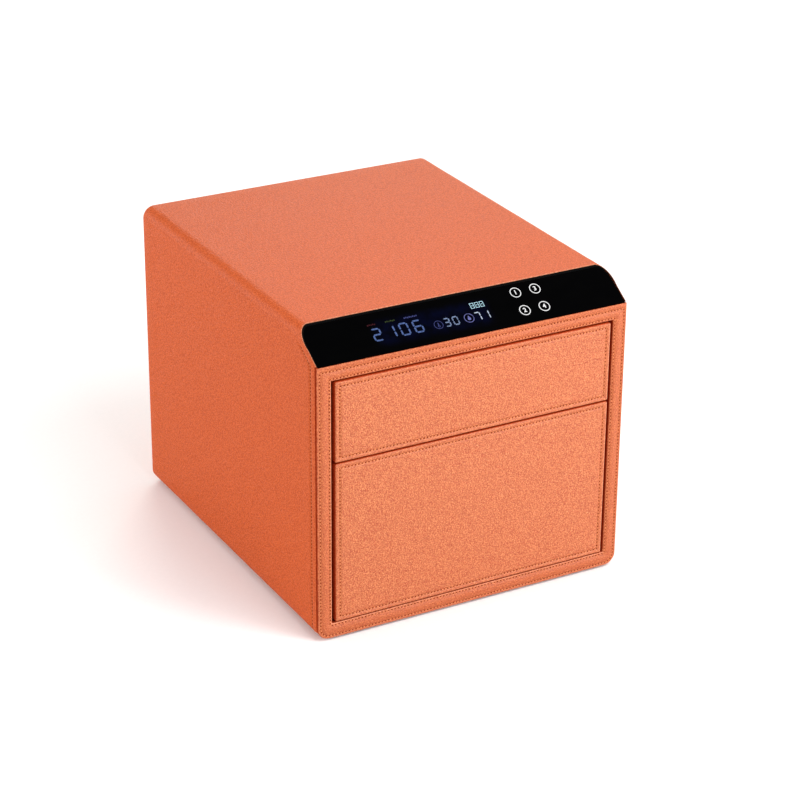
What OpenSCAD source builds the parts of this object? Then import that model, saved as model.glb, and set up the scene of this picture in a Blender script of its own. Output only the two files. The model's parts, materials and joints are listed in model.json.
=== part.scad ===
// Leather-clad safe with two drawers and a slanted touch panel.
// The front faces -Y, +Z is up, and the origin is on the floor under the middle of the body.

/* [Body] */
// Overall width over the leather
body_w = 300; // [270:1:360]
// Overall depth from the drawer faces to the back
body_d = 350; // [330:1:420]
// Overall height from the floor to the top
body_h = 280; // [262:1:340]
// Radius of the four long edges
edge_r = 11; // [6:0.5:16]
// Thickness of the leather
skin_t = 1.6; // [1:0.1:2.4]
// Thickness of the outer steel casing
casing_t = 2; // [1.5:0.1:3]
// Thickness of the inner steel sheets
sheet_t = 1.5; // [1:0.1:2]
// Width of the welding flanges on the inner sheets
flange_w = 12; // [8:1:16]

/* [Feet and anchors] */
// Height of the rubber feet
foot_h = 2; // [1:0.5:4]
// Diameter of the rubber feet
foot_d = 22; // [14:1:30]
// Distance of the foot centres from the sides and the ends
foot_inset = 30; // [24:1:45]
// Diameter of the anchor holes in the base
anchor_d = 10.5; // [8:0.5:14]
// Anchor hole spacing across the width
anchor_dx = 180; // [120:5:200]
// Anchor hole spacing along the depth
anchor_dy = 200; // [120:5:220]

/* [Slanted panel] */
// How far the slant runs back over the top
bevel_run = 38; // [34:1:46]
// How far the slant drops down the front
bevel_drop = 24; // [22:1:30]
// Thickness of the glass
glass_t = 2.5; // [2:0.1:3.5]
// Depth of the carrier behind the glass
carrier_t = 6; // [4.5:0.5:8]
// Thickness of the circuit boards
board_t = 1.6; // [1:0.1:2]
// Width of the display
display_w = 128; // [90:1:140]
// Height of the display along the slant
display_h = 18; // [14:1:20]
// Middle of the display from the middle of the panel
display_x = -34; // [-45:1:-25]
// Spacing of the four touch keys
key_pitch = 19; // [16:0.5:20]
// Middle of the touch keys from the middle of the panel
key_x = 63.4; // [55:0.1:75]
// Edge of the touch board beyond the key centres
key_margin = 6; // [4:0.5:6.5]

/* [Front frame] */
// Width of the frame at the sides
frame_side = 13.4; // [11:0.1:18]
// Height of the frame over the drawers
frame_top = 14; // [10:0.5:18]
// Height of the frame under the drawers
frame_bottom = 14; // [10:0.5:18]
// Thickness of the frame
frame_t = 12; // [10:0.5:14]
// Depth of the frame's rim that stands in front of the leather sleeve
frame_lip = 2; // [1:0.1:3]
// Seam between that rim and the leather sleeve
seam_gap = 0.8; // [0.4:0.1:1.5]

/* [Drawers] */
// How far the drawer fronts stand proud of the frame
drawer_proud = 1.5; // [0:0.1:3]
// Gap beside the drawer fronts
side_gap = 3; // [1.5:0.1:4]
// Gap over the upper front and under the lower front
end_gap = 1.3; // [1:0.1:2]
// Gap between the two fronts
split_gap = 1.2; // [1:0.1:2]
// Height of the lower drawer front
lower_front_h = 149; // [135:1:155]
// Thickness of the drawer fronts
front_t = 16; // [14:0.5:20]
// Radius of the soft edges of the drawer fronts
front_r = 3; // [1:0.1:4]
// Thickness of the tray steel
box_t = 1.2; // [1.2:0.1:1.6]
// Thickness of the felt lining
lining_t = 1.5; // [1:0.1:2.5]
// Tray floor above the lower edge of its front
box_lift = 6.5; // [4:0.5:9]
// Tray rim below the upper edge of its front
box_drop = 10; // [7:0.5:13]
// Room behind the trays for the locks and the ejectors
back_room = 52.8; // [48:0.1:60]

/* [Slides] */
// Height of a ball-bearing slide
slide_h = 27; // [25:0.5:30]
// Thickness of a slide
slide_t = 10; // [9.5:0.1:11]
// Steel thickness of the slide members
slide_steel = 1.2; // [1.2:0.1:1.4]
// Thickness of the slide flanges that hold the ball races
race_flange = 1.8; // [1.6:0.1:2]
// Depth of the ball races
race_depth = 0.5; // [0.4:0.05:0.7]
// Diameter of the balls
ball_d = 3.2; // [3:0.1:3.5]
// Balls in one row
ball_count = 5; // [3:1:5]
// Thickness of the ball cage
cage_t = 0.6; // [0.5:0.1:0.7]
// Slide centre above the tray floor
slide_rise = 28; // [22:1:32]
// Front end of the slides behind the frame
rail_set = 6; // [4:0.5:10]
// Back end of the slides short of the back of the tray
rail_back = 24; // [16:1:40]
// Overlap of rail and runner with the drawer fully open
slide_overlap = 60; // [50:1:80]
// Slide screw distance from the ends of a slide
rail_screw_in = 30; // [20:1:40]

/* [Locks] */
// Outer face of the lock frames from the middle
lock_x = -6; // [-10:1:-2]
// Bolt axis in front of the back wall
lock_reach = 26; // [22:0.5:28]
// Height of the lock frames
lock_h = 26; // [25:0.5:30]
// Thickness of the lock frames
lock_plate = 2; // [1.6:0.1:2.5]
// Width of the screw tabs of the lock frames
lock_tab = 10; // [9:0.5:12]
// Outer diameter of a lock coil
coil_d = 20; // [16:0.5:21]
// Length of a lock coil
coil_len = 26; // [20:0.5:30]
// Diameter of a lock bolt
bolt_d = 8; // [6:0.5:9]
// Travel of a lock bolt
bolt_throw = 10; // [7:0.5:12]
// Diameter of the stop collar on a bolt
bolt_collar_d = 12; // [11:0.5:14]
// Bolt axis above the tray floor
lock_rise = 28; // [22:1:32]
// Thickness of the strike hooks
strike_t = 2.5; // [2:0.1:3]
// Height of the strike hooks
strike_h = 18; // [14:1:22]
// Width of the strike base on the back of a tray
strike_base_w = 20; // [18:1:24]

/* [Ejectors] */
// Ejector axis from the middle
ejector_x = 50; // [46:1:70]
// Ejector axis above the tray floor
ejector_rise = 28; // [22:1:32]
// Travel of an ejector plunger
ejector_travel = 24; // [16:1:24]
// Diameter of an ejector plunger
plunger_d = 11; // [10.5:0.1:12]
// Wall of an ejector barrel
barrel_wall = 2.9; // [2:0.1:3.5]
// Diameter of the ejector flange
ejector_flange_d = 37; // [36:0.5:42]
// Wire diameter of an ejector spring
spring_wire = 1; // [0.8:0.1:1.2]
// Turns of an ejector spring
spring_turns = 10; // [8:1:12]

/* [Key lock and charging port] */
// Key axis from the side
key_side = 50; // [45:1:65]
// Outer diameter of the key barrel
key_barrel_d = 19; // [18:0.5:20]
// Diameter of the key plug
key_plug_d = 13; // [11:0.5:14]
// Length of the key barrel inside the leather
key_barrel_l = 20; // [18:0.5:24]
// Reach of the cam from the key axis
cam_reach = 13; // [11:0.5:14]
// Charging port from the side
port_side = 50; // [45:1:70]

/* [Electronics] */
// Width of the control board
board_w = 100; // [80:1:110]
// Depth of the control board
board_d = 64; // [50:1:70]
// Middle of the control board from the middle
board_x = -52; // [-60:1:-48]
// Middle of the control board behind the middle
board_y = 60; // [50:1:70]
// Diameter of a battery cell
cell_d = 18.4; // [16:0.1:20]
// Length of a battery cell
cell_l = 65; // [50:1:70]
// Middle of the battery from the middle
battery_x = 62; // [58:1:70]
// Diameter of the wires
wire_d = 3; // [2:0.1:3.5]

/* [Screws] */
// Shank diameter of the countersunk screws
screw_d = 3.5; // [3:0.1:4.5]
// Head diameter of the countersunk screws
screw_head_d = 6; // [5.6:0.1:7]
// Head height of the countersunk screws
screw_head_h = 1.1; // [0.8:0.05:1.15]

/* [Fits] */
// Glue and weld line between fixed pieces
glue_gap = 0.1; // [0.05:0.01:0.15]
// Running clearance of bolts, plungers and the key plug
run_gap = 0.1; // [0.05:0.01:0.15]
// Clearance between the members of a slide
slide_gap = 0.5; // [0.4:0.05:0.6]
// Clearance of the balls in their races and cages
race_gap = 0.15; // [0.1:0.01:0.2]
// Clearance round the screws
screw_gap = 0.05; // [0.03:0.01:0.1]

/* [Hidden] */
$fn = 64;
// How far a cutter runs past the face that it cuts
over = 1;

// Leather, casing and cavity
x_out = body_w/2;
y_face = -body_d/2;
y_front = y_face + drawer_proud;
y_back = body_d/2;
z_bot = foot_h;
z_top = body_h;
z_mid = (z_bot + z_top)/2;
shell_in = skin_t + glue_gap;
cavity_in = shell_in + casing_t;
y_bay = y_front + frame_t;
y_wall = y_back - cavity_in;
z_roof = z_top - cavity_in;

// Slanted panel
bevel_a = atan2(bevel_drop, bevel_run);
bevel_len = norm([bevel_run, bevel_drop]);
z_sill = z_top - bevel_drop;
panel_back = glass_t + glue_gap;
panel_rise = 0.7;
carrier_clear = 1;
panel_mid = bevel_len/2 + panel_rise;
carrier_v0 = (frame_t + carrier_clear - panel_back*sin(bevel_a))/cos(bevel_a);
carrier_v1 = (bevel_drop - cavity_in - carrier_clear + panel_back*cos(bevel_a))/sin(bevel_a);
touch_half = key_pitch/2 + key_margin;
header = [24, 8, 8];
header_sink = 1;
header_y = y_front + (panel_mid*cos(bevel_a) + (panel_back + carrier_t)*sin(bevel_a));
header_z = z_sill + panel_mid*sin(bevel_a) - (panel_back + carrier_t)*cos(bevel_a);

// Opening and drawer fronts
open_w = body_w - 2*frame_side;
open_z0 = z_bot + frame_bottom;
open_z1 = z_sill - frame_top;
front_w = open_w - 2*side_gap;
lower_z0 = open_z0 + end_gap;
lower_z1 = lower_z0 + lower_front_h;
upper_z0 = lower_z1 + split_gap;
upper_z1 = open_z1 - end_gap;

// Inner sheets
bay_set = 0.4;
bay_x = open_w/2 + bay_set;
bay_y0 = y_bay + glue_gap;
bay_y1 = y_wall - glue_gap;
ceiling_set = 1;
z_ceil = open_z1 + ceiling_set;
z_deck = z_ceil + sheet_t;
shelf_z = (lower_z1 + upper_z0 - sheet_t)/2;
shelf_set = 4;
shelf_y0 = y_face + front_t + shelf_set;

// Trays
y_box0 = y_face + front_t;
y_box1 = y_wall - back_room;
box_w = 2*(bay_x - slide_t);
lower_box_z0 = lower_z0 + box_lift;
lower_box_z1 = lower_z1 - box_drop;
upper_box_z0 = upper_z0 + box_lift;
upper_box_z1 = upper_z1 - box_drop;
lining_drop = 1;
front_screw_in = 30;
front_screw_up = 12;
front_screw_bite = 10;

// Slides, as distance from the bay side (s) and height from the slide centre
rail_y0 = y_bay + rail_set;
rail_len = y_box1 - rail_back - rail_y0;
drawer_travel = rail_len - slide_overlap;
ball_r = ball_d/2;
ball_z = slide_h/2 - race_flange + race_depth - ball_r;
runner_h = ball_z - ball_r + race_depth;
rail_flange = slide_t - slide_steel - slide_gap;
cage_s0 = slide_steel + slide_gap;
runner_s0 = cage_s0 + cage_t + slide_gap;
ball_s = (runner_s0 + rail_flange)/2;
cage_s1 = rail_flange - slide_gap;
cage_set = 2;
cage_len = slide_overlap - 2*cage_set;
cage_y0 = rail_y0 + drawer_travel/2 + cage_set;
ball_pitch = (cage_len - 4*ball_d)/(ball_count - 1);
rail_screw_y = [rail_y0 + rail_screw_in, rail_y0 + rail_len - rail_screw_in];
rail_screw_tail = 2;
lower_slide_z = lower_box_z0 + slide_rise;
upper_slide_z = upper_box_z0 + slide_rise;

// Locks
collar_t = 2;
stop_gap = 0.5;
bolt_rest = 0.5;
lock_len = 2*lock_plate + coil_len + collar_t + bolt_throw + 2*stop_gap;
lock_x0 = lock_x - lock_len;
coil_x0 = lock_x0 + lock_plate;
coil_x1 = coil_x0 + coil_len;
y_bolt = y_wall - lock_reach;
bobbin_t = 1.5;
bobbin_rim = 1;
lock_nose = coil_d/2 + bobbin_rim;
bobbin_gap = 0.3;
coil_bore = bolt_d + 2*bobbin_gap;
bolt_tip = 1.5;
hook_gap = 0.8;
hook_side = 1.5;
hook_clear = 2;
strike_x0 = lock_x + bolt_rest + hook_clear;
strike_x1 = lock_x + bolt_rest + bolt_throw + hook_side;
hook_y = y_bolt + bolt_d/2 + hook_gap;
lower_lock_z = lower_box_z0 + lock_rise;
upper_lock_z = upper_box_z0 + lock_rise;

// Ejectors
nose_gap = 0.3;
nose_t = 2.5;
lip_t = 3;
plunger_collar_t = 4;
barrel_floor = 2.5;
collar_step = 1;
bore_d = plunger_d + 2*collar_step + 2*run_gap;
barrel_d = bore_d + 2*barrel_wall;
ejector_flange_t = 2.5;
ejector_screw_r = (barrel_d + ejector_flange_d)/4;
ejector_len = lip_t + ejector_travel + stop_gap + plunger_collar_t + stop_gap + barrel_floor;
spring_gap = 0.4;
plunger_wall = 1;
hollow_d = plunger_d - 2*plunger_wall;
spring_r = hollow_d/2 - spring_gap - spring_wire/2;
spring_y0 = y_box1 + nose_gap + nose_t;
spring_y1 = y_wall - barrel_floor;
spring_rings = 8;
spring_sides = 6;
lower_ejector_z = lower_box_z0 + ejector_rise;
upper_ejector_z = upper_box_z0 + ejector_rise;

// Key lock and charging port
key_lock_x = x_out - key_side;
port_x = port_side - x_out;
deck_mid = (z_deck + z_roof)/2;
key_rim_w = 2.5;
key_rim_d = key_barrel_d + 2*key_rim_w;
key_nut_t = 4;
key_nut_wall = 3;
key_nut_d = key_barrel_d + 2*key_nut_wall;
keyway = [6, 2];
keyway_depth = 12;
cam_t = 2;
cam_w = 8;
cam_gap = 0.4;
y_cam = y_back - key_barrel_l - cam_gap - cam_t;
switch_size = [8, 6];
switch_button_d = 2;
switch_button_h = 1.5;
switch_past = 1;
port_w = 9.4;
port_h = 3.6;
port_r = 1.7;
port_wall = 0.4;
port_l = 8;
port_tongue_set = 2;
port_tongue = [6.6, 0.7];

// Electronics on the deck
boss_h = 5;
boss_d = 7;
boss_pin_d = 3;
boss_in = 5;
board_z = z_deck + boss_h;
plug_size = [24, 8, 8];
display_plug = [header[0], header[1], header_z + header[2]/2 - board_z - board_t];
chip_size = [14, 14, 1.6];
capacitor_d = 8;
capacitor_h = 11;
relay_size = [15, 18, 12];
holder_wall = 2;
holder_h = 13;
cell_gap = 0.5;
holder_w = cell_l + 2*cell_gap + 2*holder_wall;
holder_d = 2*cell_d + 3*cell_gap + 2*holder_wall;
wire_bend = 6;
bend_steps = 4;
wire_sides = 8;
wire_clear = 0.4;
wire_y = y_wall - lock_plate - wire_d/2 - wire_clear;
wire_z = board_z + board_t + plug_size[2]/2;
upper_wire_x = lock_x0 - lock_tab - wire_d/2 - wire_clear;
lower_wire_x = upper_wire_x - wire_d - 2*wire_clear;
notch_w = 2*wire_d + 6*wire_clear;
notch_d = y_wall - wire_y + wire_d/2 + 2*wire_clear;
display_wire_x = board_x;

// Colours
leather = [0.87, 0.45, 0.28];
steel = [0.62, 0.63, 0.65];
zinc = [0.75, 0.76, 0.78];
black = [0.03, 0.03, 0.035];
felt = [0.55, 0.47, 0.38];
board_green = [0.05, 0.3, 0.16];
copper = [0.72, 0.4, 0.2];
brass = [0.8, 0.65, 0.3];
nylon = [0.85, 0.85, 0.82];
cell_blue = [0.2, 0.35, 0.6];
wire_red = [0.7, 0.1, 0.08];

// Outline of a rectangle with round corners
module rounded_rect(w, h, r) {
  square([w - 2*r, h], center = true);
  square([w, h - 2*r], center = true);
  for (x = [-1, 1], y = [-1, 1])
    translate([x*(w/2 - r), y*(h/2 - r)]) circle(r);
}

// The body's rounded section, inset from the leather, between two depths
module body_section(inset, y0, y1) {
  translate([0, y1, z_mid]) rotate([90, 0, 0]) linear_extrude(y1 - y0)
    rounded_rect(body_w - 2*inset, z_top - z_bot - 2*inset, edge_r - inset);
}

// Places children on the slant: x across, y up the slant, z out of it
module on_bevel() {
  translate([0, y_front, z_sill]) rotate([bevel_a, 0, 0]) children();
}

// Everything above the slant, lowered by a depth
module above_bevel(depth) {
  on_bevel() translate([-body_w, -body_h, -depth]) cube([2*body_w, 2*body_h + bevel_len, body_h]);
}

// Lays a flat outline (x, z) along the depth
module along_y(y0, length) {
  translate([0, y0 + length, 0]) rotate([90, 0, 0]) linear_extrude(length) children();
}

// A round bar along +Y
module bar_y(x, y0, y1, z, d) {
  translate([x, y0, z]) rotate([-90, 0, 0]) cylinder(d = d, h = y1 - y0);
}

// A round bar along +X
module bar_x(x0, x1, y, z, d) {
  translate([x0, y, z]) rotate([0, 90, 0]) cylinder(d = d, h = x1 - x0);
}

// Countersunk screw with its head face at z = 0, pointing along +Z
module screw(length) {
  cylinder(d1 = screw_head_d, d2 = screw_d, h = screw_head_h);
  cylinder(d = screw_d, h = length);
}

// The hole for that screw
module screw_hole(length) {
  cylinder(d1 = screw_head_d + 2*screw_gap, d2 = screw_d + 2*screw_gap, h = screw_head_h);
  translate([0, 0, -over]) cylinder(d = screw_d + 2*screw_gap, h = length + 2*over);
  translate([0, 0, -over]) cylinder(d = screw_head_d + 2*screw_gap, h = over);
}

// Screw places

module at_rail_screws(slide_z) {
  for (y = rail_screw_y)
    translate([bay_x - slide_steel, y, slide_z]) rotate([0, 90, 0]) children();
}

module at_runner_screws(slide_z) {
  for (y = rail_screw_y)
    translate([bay_x - slide_t + slide_steel, y, slide_z]) rotate([0, -90, 0]) children();
}

module at_front_screws(box_z0, box_z1) {
  for (x = [-1, 1], z = [box_z0 + front_screw_up, box_z1 - front_screw_up])
    translate([x*(box_w/2 - front_screw_in), y_box0 + box_t, z]) rotate([90, 0, 0]) children();
}

module at_strike_screws(lock_z) {
  for (k = [-1, 1])
    translate([strike_x1 + (strike_base_w + strike_t)/2, y_box1 + strike_t, lock_z + k*strike_h/4])
      rotate([90, 0, 0]) children();
}

module at_lock_screws(lock_z) {
  for (x = [lock_x0 - lock_tab/2, lock_x + lock_tab/2])
    translate([x, y_wall - lock_plate, lock_z]) rotate([-90, 0, 0]) children();
}

module at_ejector_screws(ejector_z) {
  for (k = [-1, 1])
    translate([ejector_x, y_wall - ejector_flange_t, ejector_z + k*ejector_screw_r])
      rotate([-90, 0, 0]) children();
}

// Cabinet

module anchor_holes() {
  for (x = [-1, 1], y = [-1, 1])
    translate([x*anchor_dx/2, y*anchor_dy/2, z_bot - over]) cylinder(d = anchor_d, h = cavity_in + 2*over);
}

module leather_sleeve() color(leather) difference() {
  body_section(0, y_front, y_back);
  body_section(skin_t, y_front - over, y_back + over);
  above_bevel(0);
  translate([-body_w, y_front - over, z_bot - over])
    cube([2*body_w, over + frame_lip + seam_gap, over + z_sill + glue_gap - z_bot]);
  anchor_holes();
}

module front_frame() color(leather) difference() {
  intersection() {
    union() {
      body_section(0, y_front, y_front + frame_lip);
      body_section(shell_in, y_front, y_bay);
    }
    translate([-body_w, y_front - over, 0]) cube([2*body_w, frame_t + 2*over, z_sill]);
  }
  translate([-open_w/2, y_front - over, open_z0]) cube([open_w, frame_t + 2*over, open_z1 - open_z0]);
}

module rear_cover() color(leather) difference() {
  body_section(shell_in, y_back - skin_t, y_back);
  bar_y(key_lock_x, y_back - skin_t - over, y_back + over, deck_mid, key_rim_d + 2*glue_gap);
  port_block(glue_gap, y_back - skin_t - over, y_back + over);
}

module steel_casing() color(steel) difference() {
  body_section(shell_in, y_bay + glue_gap, y_back - shell_in);
  body_section(cavity_in, y_bay - over, y_wall);
  above_bevel(panel_back);
  anchor_holes();
  bar_y(key_lock_x, y_wall - over, y_back, deck_mid, key_barrel_d + 2*glue_gap);
  port_block(glue_gap, y_wall - over, y_back);
  for (z = [lower_lock_z, upper_lock_z]) at_lock_screws(z) screw_hole(lock_plate + casing_t);
  for (z = [lower_ejector_z, upper_ejector_z]) at_ejector_screws(z) screw_hole(ejector_flange_t + casing_t);
}

// Inner side sheet on the right, with a foot flange inward and a top flange outward
module bay_side() difference() {
  intersection() {
    union() {
      translate([bay_x, bay_y0, 0]) cube([sheet_t, bay_y1 - bay_y0, z_ceil]);
      translate([bay_x - flange_w, bay_y0, 0])
        cube([flange_w + sheet_t, bay_y1 - bay_y0, z_bot + cavity_in + glue_gap + sheet_t]);
      translate([bay_x, bay_y0, z_ceil - sheet_t]) cube([x_out - bay_x, bay_y1 - bay_y0, sheet_t]);
    }
    body_section(cavity_in + glue_gap, bay_y0, bay_y1);
  }
  for (z = [lower_slide_z, upper_slide_z])
    at_rail_screws(z) screw_hole(slide_steel + sheet_t + rail_screw_tail);
}

module bay_side_left() color(steel) mirror([1, 0, 0]) bay_side();
module bay_side_right() color(steel) bay_side();

// Room for the wires at the back edge of a sheet
module wire_notch(z) {
  translate([lower_wire_x - wire_d/2 - 2*wire_clear, y_wall - notch_d, z - over])
    cube([notch_w, notch_d + over, sheet_t + 2*over]);
}

module at_board_bosses() {
  for (x = [-1, 1], y = [-1, 1])
    translate([board_x + x*(board_w/2 - boss_in), board_y + y*(board_d/2 - boss_in), z_deck]) children();
}

module bay_ceiling() color(steel) {
  difference() {
    intersection() {
      translate([-body_w, bay_y0, z_ceil]) cube([2*body_w, bay_y1 - bay_y0, sheet_t]);
      body_section(cavity_in + glue_gap, bay_y0, bay_y1);
    }
    wire_notch(z_ceil);
  }
  at_board_bosses() cylinder(d = boss_d, h = boss_h);
  at_board_bosses() cylinder(d = boss_pin_d, h = boss_h + board_t);
}

module bay_shelf() color(steel) difference() {
  union() {
    translate([-bay_x + glue_gap, shelf_y0, shelf_z])
      cube([2*(bay_x - glue_gap), bay_y1 - shelf_y0, sheet_t]);
    for (x = [-bay_x + glue_gap, bay_x - glue_gap - sheet_t])
      translate([x, shelf_y0, shelf_z - flange_w]) cube([sheet_t, bay_y1 - shelf_y0, flange_w + sheet_t]);
  }
  wire_notch(shelf_z);
}

module rubber_feet() color(black)
  for (x = [-1, 1], y = [-1, 1])
    translate([x*(x_out - foot_inset), y*(y_back - foot_inset), 0]) cylinder(d = foot_d, h = foot_h);

// Panel

// A flat block on the slant, by its middle, size and depth behind the glass
module behind_glass(x, w, v0, v1, depth0, depth1) {
  on_bevel() translate([x - w/2, v0, -panel_back - depth1]) cube([w, v1 - v0, depth1 - depth0]);
}

module glass_panel() color(black) intersection() {
  body_section(shell_in, y_front, y_back);
  translate([-body_w, y_front - over, z_sill + glue_gap]) cube([2*body_w, body_d, body_h]);
  on_bevel() translate([-body_w, -body_h, -glass_t])
    cube([2*body_w, body_h + (bevel_drop - shell_in)/sin(bevel_a), glass_t]);
}

module panel_carrier() color(black) difference() {
  intersection() {
    behind_glass(0, 2*body_w, carrier_v0, carrier_v1, 0, carrier_t);
    body_section(cavity_in + glue_gap, y_front, y_back);
  }
  behind_glass(display_x, display_w + 2*glue_gap, panel_mid - display_h/2 - glue_gap,
    panel_mid + display_h/2 + glue_gap, -over, carrier_t + over);
  behind_glass(key_x, 2*(touch_half + glue_gap), panel_mid - touch_half - glue_gap,
    panel_mid + touch_half + glue_gap, -over, board_t + glue_gap);
}

module touch_board() color(board_green)
  behind_glass(key_x, 2*touch_half, panel_mid - touch_half, panel_mid + touch_half, 0, board_t);

// Display block with the socket for its wire at the back
module display_module() color(black) {
  behind_glass(display_x, display_w, panel_mid - display_h/2, panel_mid + display_h/2, 0, carrier_t);
  translate([display_wire_x - header[0]/2, header_y - header_sink, header_z - header[2]/2])
    cube([header[0], header[1] + header_sink, header[2]]);
}

// Electronics on the deck

module control_board() color(board_green) difference() {
  union() {
    translate([board_x - board_w/2, board_y - board_d/2, board_z]) cube([board_w, board_d, board_t]);
    translate([board_x, board_y, board_z + board_t]) {
      translate([display_wire_x - board_x - display_plug[0]/2, -board_d/2, 0]) cube(display_plug);
      translate([lower_wire_x - board_x - wire_d, board_d/2 - plug_size[1], 0]) cube(plug_size);
      translate([-chip_size[0]/2, -chip_size[1]/2, 0]) cube(chip_size);
      translate([board_w/4, -relay_size[1]/2, 0]) cube(relay_size);
      for (y = [-1, 1])
        translate([-board_w/3, y*capacitor_d, 0]) cylinder(d = capacitor_d, h = capacitor_h);
    }
  }
  at_board_bosses() cylinder(d = boss_pin_d + 2*run_gap, h = boss_h + board_t + over);
}

module battery_holder() color(black)
  translate([battery_x - holder_w/2, board_y - holder_d/2, z_deck]) difference() {
    cube([holder_w, holder_d, holder_h]);
    translate([holder_wall, holder_wall, holder_wall])
      cube([holder_w - 2*holder_wall, holder_d - 2*holder_wall, holder_h]);
  }

module battery_cells() color(cell_blue)
  for (k = [-1, 1])
    bar_x(battery_x - cell_l/2, battery_x + cell_l/2, board_y + k*(cell_d + cell_gap)/2,
      z_deck + holder_wall + glue_gap + cell_d/2, cell_d);

// Unit vector along a direction
function unit(v) = v/norm(v);

// Path through corners, with a round elbow at each one
function elbows(p) =
  let(last = len(p) - 1)
  concat(
    [p[0]],
    [for (i = [1 : 1 : last - 1])
      let(
        a = unit(p[i] - p[i - 1]),
        b = unit(p[i + 1] - p[i]),
        centre = p[i] - wire_bend*a + wire_bend*b)
      for (k = [0 : bend_steps])
        centre - wire_bend*cos(90*k/bend_steps)*b + wire_bend*sin(90*k/bend_steps)*a],
    [p[last]]);

// Direction of a path at each of its points
function headings(p) =
  [for (i = [0 : len(p) - 1]) unit(p[min(i + 1, len(p) - 1)] - p[max(i - 1, 0)])];

// Normal at each point, carried along the path without twist
function carried(t) =
  let(last = len(t) - 1)
  [for (
    i = 0, n = unit(cross(t[0], abs(t[0][0]) < 0.9 ? [1, 0, 0] : [0, 1, 0]));
    i <= last;
    i = i + 1, n = unit(n - (n*t[min(i, last)])*t[min(i, last)])) n];

// Round tube swept along a path
module tube(path, d, sides) {
  t = headings(path);
  n = carried(t);
  rings = len(path) - 1;
  last = rings*sides;
  points = [for (i = [0 : rings], k = [0 : sides - 1])
    path[i] + d/2*(cos(360*k/sides)*n[i] + sin(360*k/sides)*cross(t[i], n[i]))];
  skin = [for (i = [0 : rings - 1], k = [0 : sides - 1])
    let(
      a = i*sides + k,
      b = i*sides + (k + 1)%sides)
    each [[a, b + sides, b], [a, a + sides, b + sides]]];
  caps = [for (k = [1 : sides - 2]) each [[0, k, k + 1], [last, last + k + 1, last + k]]];
  polyhedron(points, concat(skin, caps));
}

module wire(corners) {
  tube(elbows(corners), wire_d, wire_sides);
}

module lock_wire(x, lock_z) {
  wire([
    [x, board_y + board_d/2, wire_z],
    [x, wire_y, wire_z],
    [x, wire_y, lock_z],
    [lock_x0, wire_y, lock_z]]);
}

module wiring_harness() color(wire_red) {
  lock_wire(upper_wire_x, upper_lock_z);
  lock_wire(lower_wire_x, lower_lock_z);
  wire([
    [display_wire_x, header_y + header[1], header_z],
    [display_wire_x, board_y - board_d/2, header_z]]);
}

// Rounded block of the charging port, grown by a gap, between two depths
module port_block(gap, y0, y1) {
  translate([port_x, y1, deck_mid]) rotate([90, 0, 0]) linear_extrude(y1 - y0)
    rounded_rect(port_w + 2*gap, port_h + 2*gap, port_r + gap);
}

module charging_port() color(zinc) {
  difference() {
    port_block(0, y_back - port_l, y_back - glue_gap);
    port_block(-port_wall, y_back - port_l + port_wall, y_back + over);
  }
  translate([port_x - port_tongue[0]/2, y_back - port_l + port_wall/2, deck_mid - port_tongue[1]/2])
    cube([port_tongue[0], port_l - port_tongue_set, port_tongue[1]]);
}

// Emergency key lock

module key_barrel() color(zinc) difference() {
  union() {
    bar_y(key_lock_x, y_back - skin_t, y_back, deck_mid, key_rim_d);
    bar_y(key_lock_x, y_back - key_barrel_l, y_back, deck_mid, key_barrel_d);
  }
  bar_y(key_lock_x, y_back - key_barrel_l - over, y_back + over, deck_mid, key_plug_d + 2*run_gap);
}

module key_nut() color(zinc) difference() {
  translate([key_lock_x, y_wall - key_nut_t, deck_mid]) rotate([-90, 0, 0])
    cylinder(d = key_nut_d, h = key_nut_t, $fn = 6);
  bar_y(key_lock_x, y_wall - key_nut_t - over, y_wall + over, deck_mid, key_barrel_d + 2*glue_gap);
}

module key_plug() color(brass) difference() {
  bar_y(key_lock_x, y_cam + cam_t, y_back - glue_gap, deck_mid, key_plug_d);
  translate([key_lock_x - keyway[1]/2, y_back - keyway_depth, deck_mid - keyway[0]/2])
    cube([keyway[1], keyway_depth, keyway[0]]);
}

module key_cam() color(zinc) {
  bar_y(key_lock_x, y_cam, y_cam + cam_t, deck_mid, key_plug_d);
  translate([key_lock_x - cam_w/2, y_cam, deck_mid]) cube([cam_w, cam_t, cam_reach]);
}

// Stands under the place where the cam ends after its quarter turn
module override_switch() color(black) {
  top = deck_mid - cam_w/2 - cam_gap;
  x = key_lock_x + cam_reach - switch_size[0]/2 + switch_past;
  translate([x - switch_size[0]/2, y_cam + cam_t - switch_size[1], z_deck])
    cube([switch_size[0], switch_size[1], top - switch_button_h - z_deck]);
  translate([x, y_cam + cam_t/2, z_deck]) cylinder(d = switch_button_d, h = top - z_deck);
}

// Slides

// Places a slide outline (s, height) on the right bay side
module slide_outline(slide_z) {
  translate([bay_x, slide_z]) mirror([1, 0]) children();
}

module ball_races() {
  for (k = [-1, 1]) translate([ball_s, k*ball_z]) circle(ball_r + race_gap);
}

// Two flanges of one slide member, at a half height
module flanges(s0, s1, half_h, t) {
  translate([s0, half_h - t]) square([s1 - s0, t]);
  translate([s0, -half_h]) square([s1 - s0, t]);
}

module rail(slide_z) color(zinc) difference() {
  along_y(rail_y0, rail_len) slide_outline(slide_z) difference() {
    union() {
      translate([0, -slide_h/2]) square([slide_steel, slide_h]);
      flanges(0, rail_flange, slide_h/2, race_flange);
    }
    ball_races();
  }
  at_rail_screws(slide_z) screw_hole(slide_steel);
}

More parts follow.
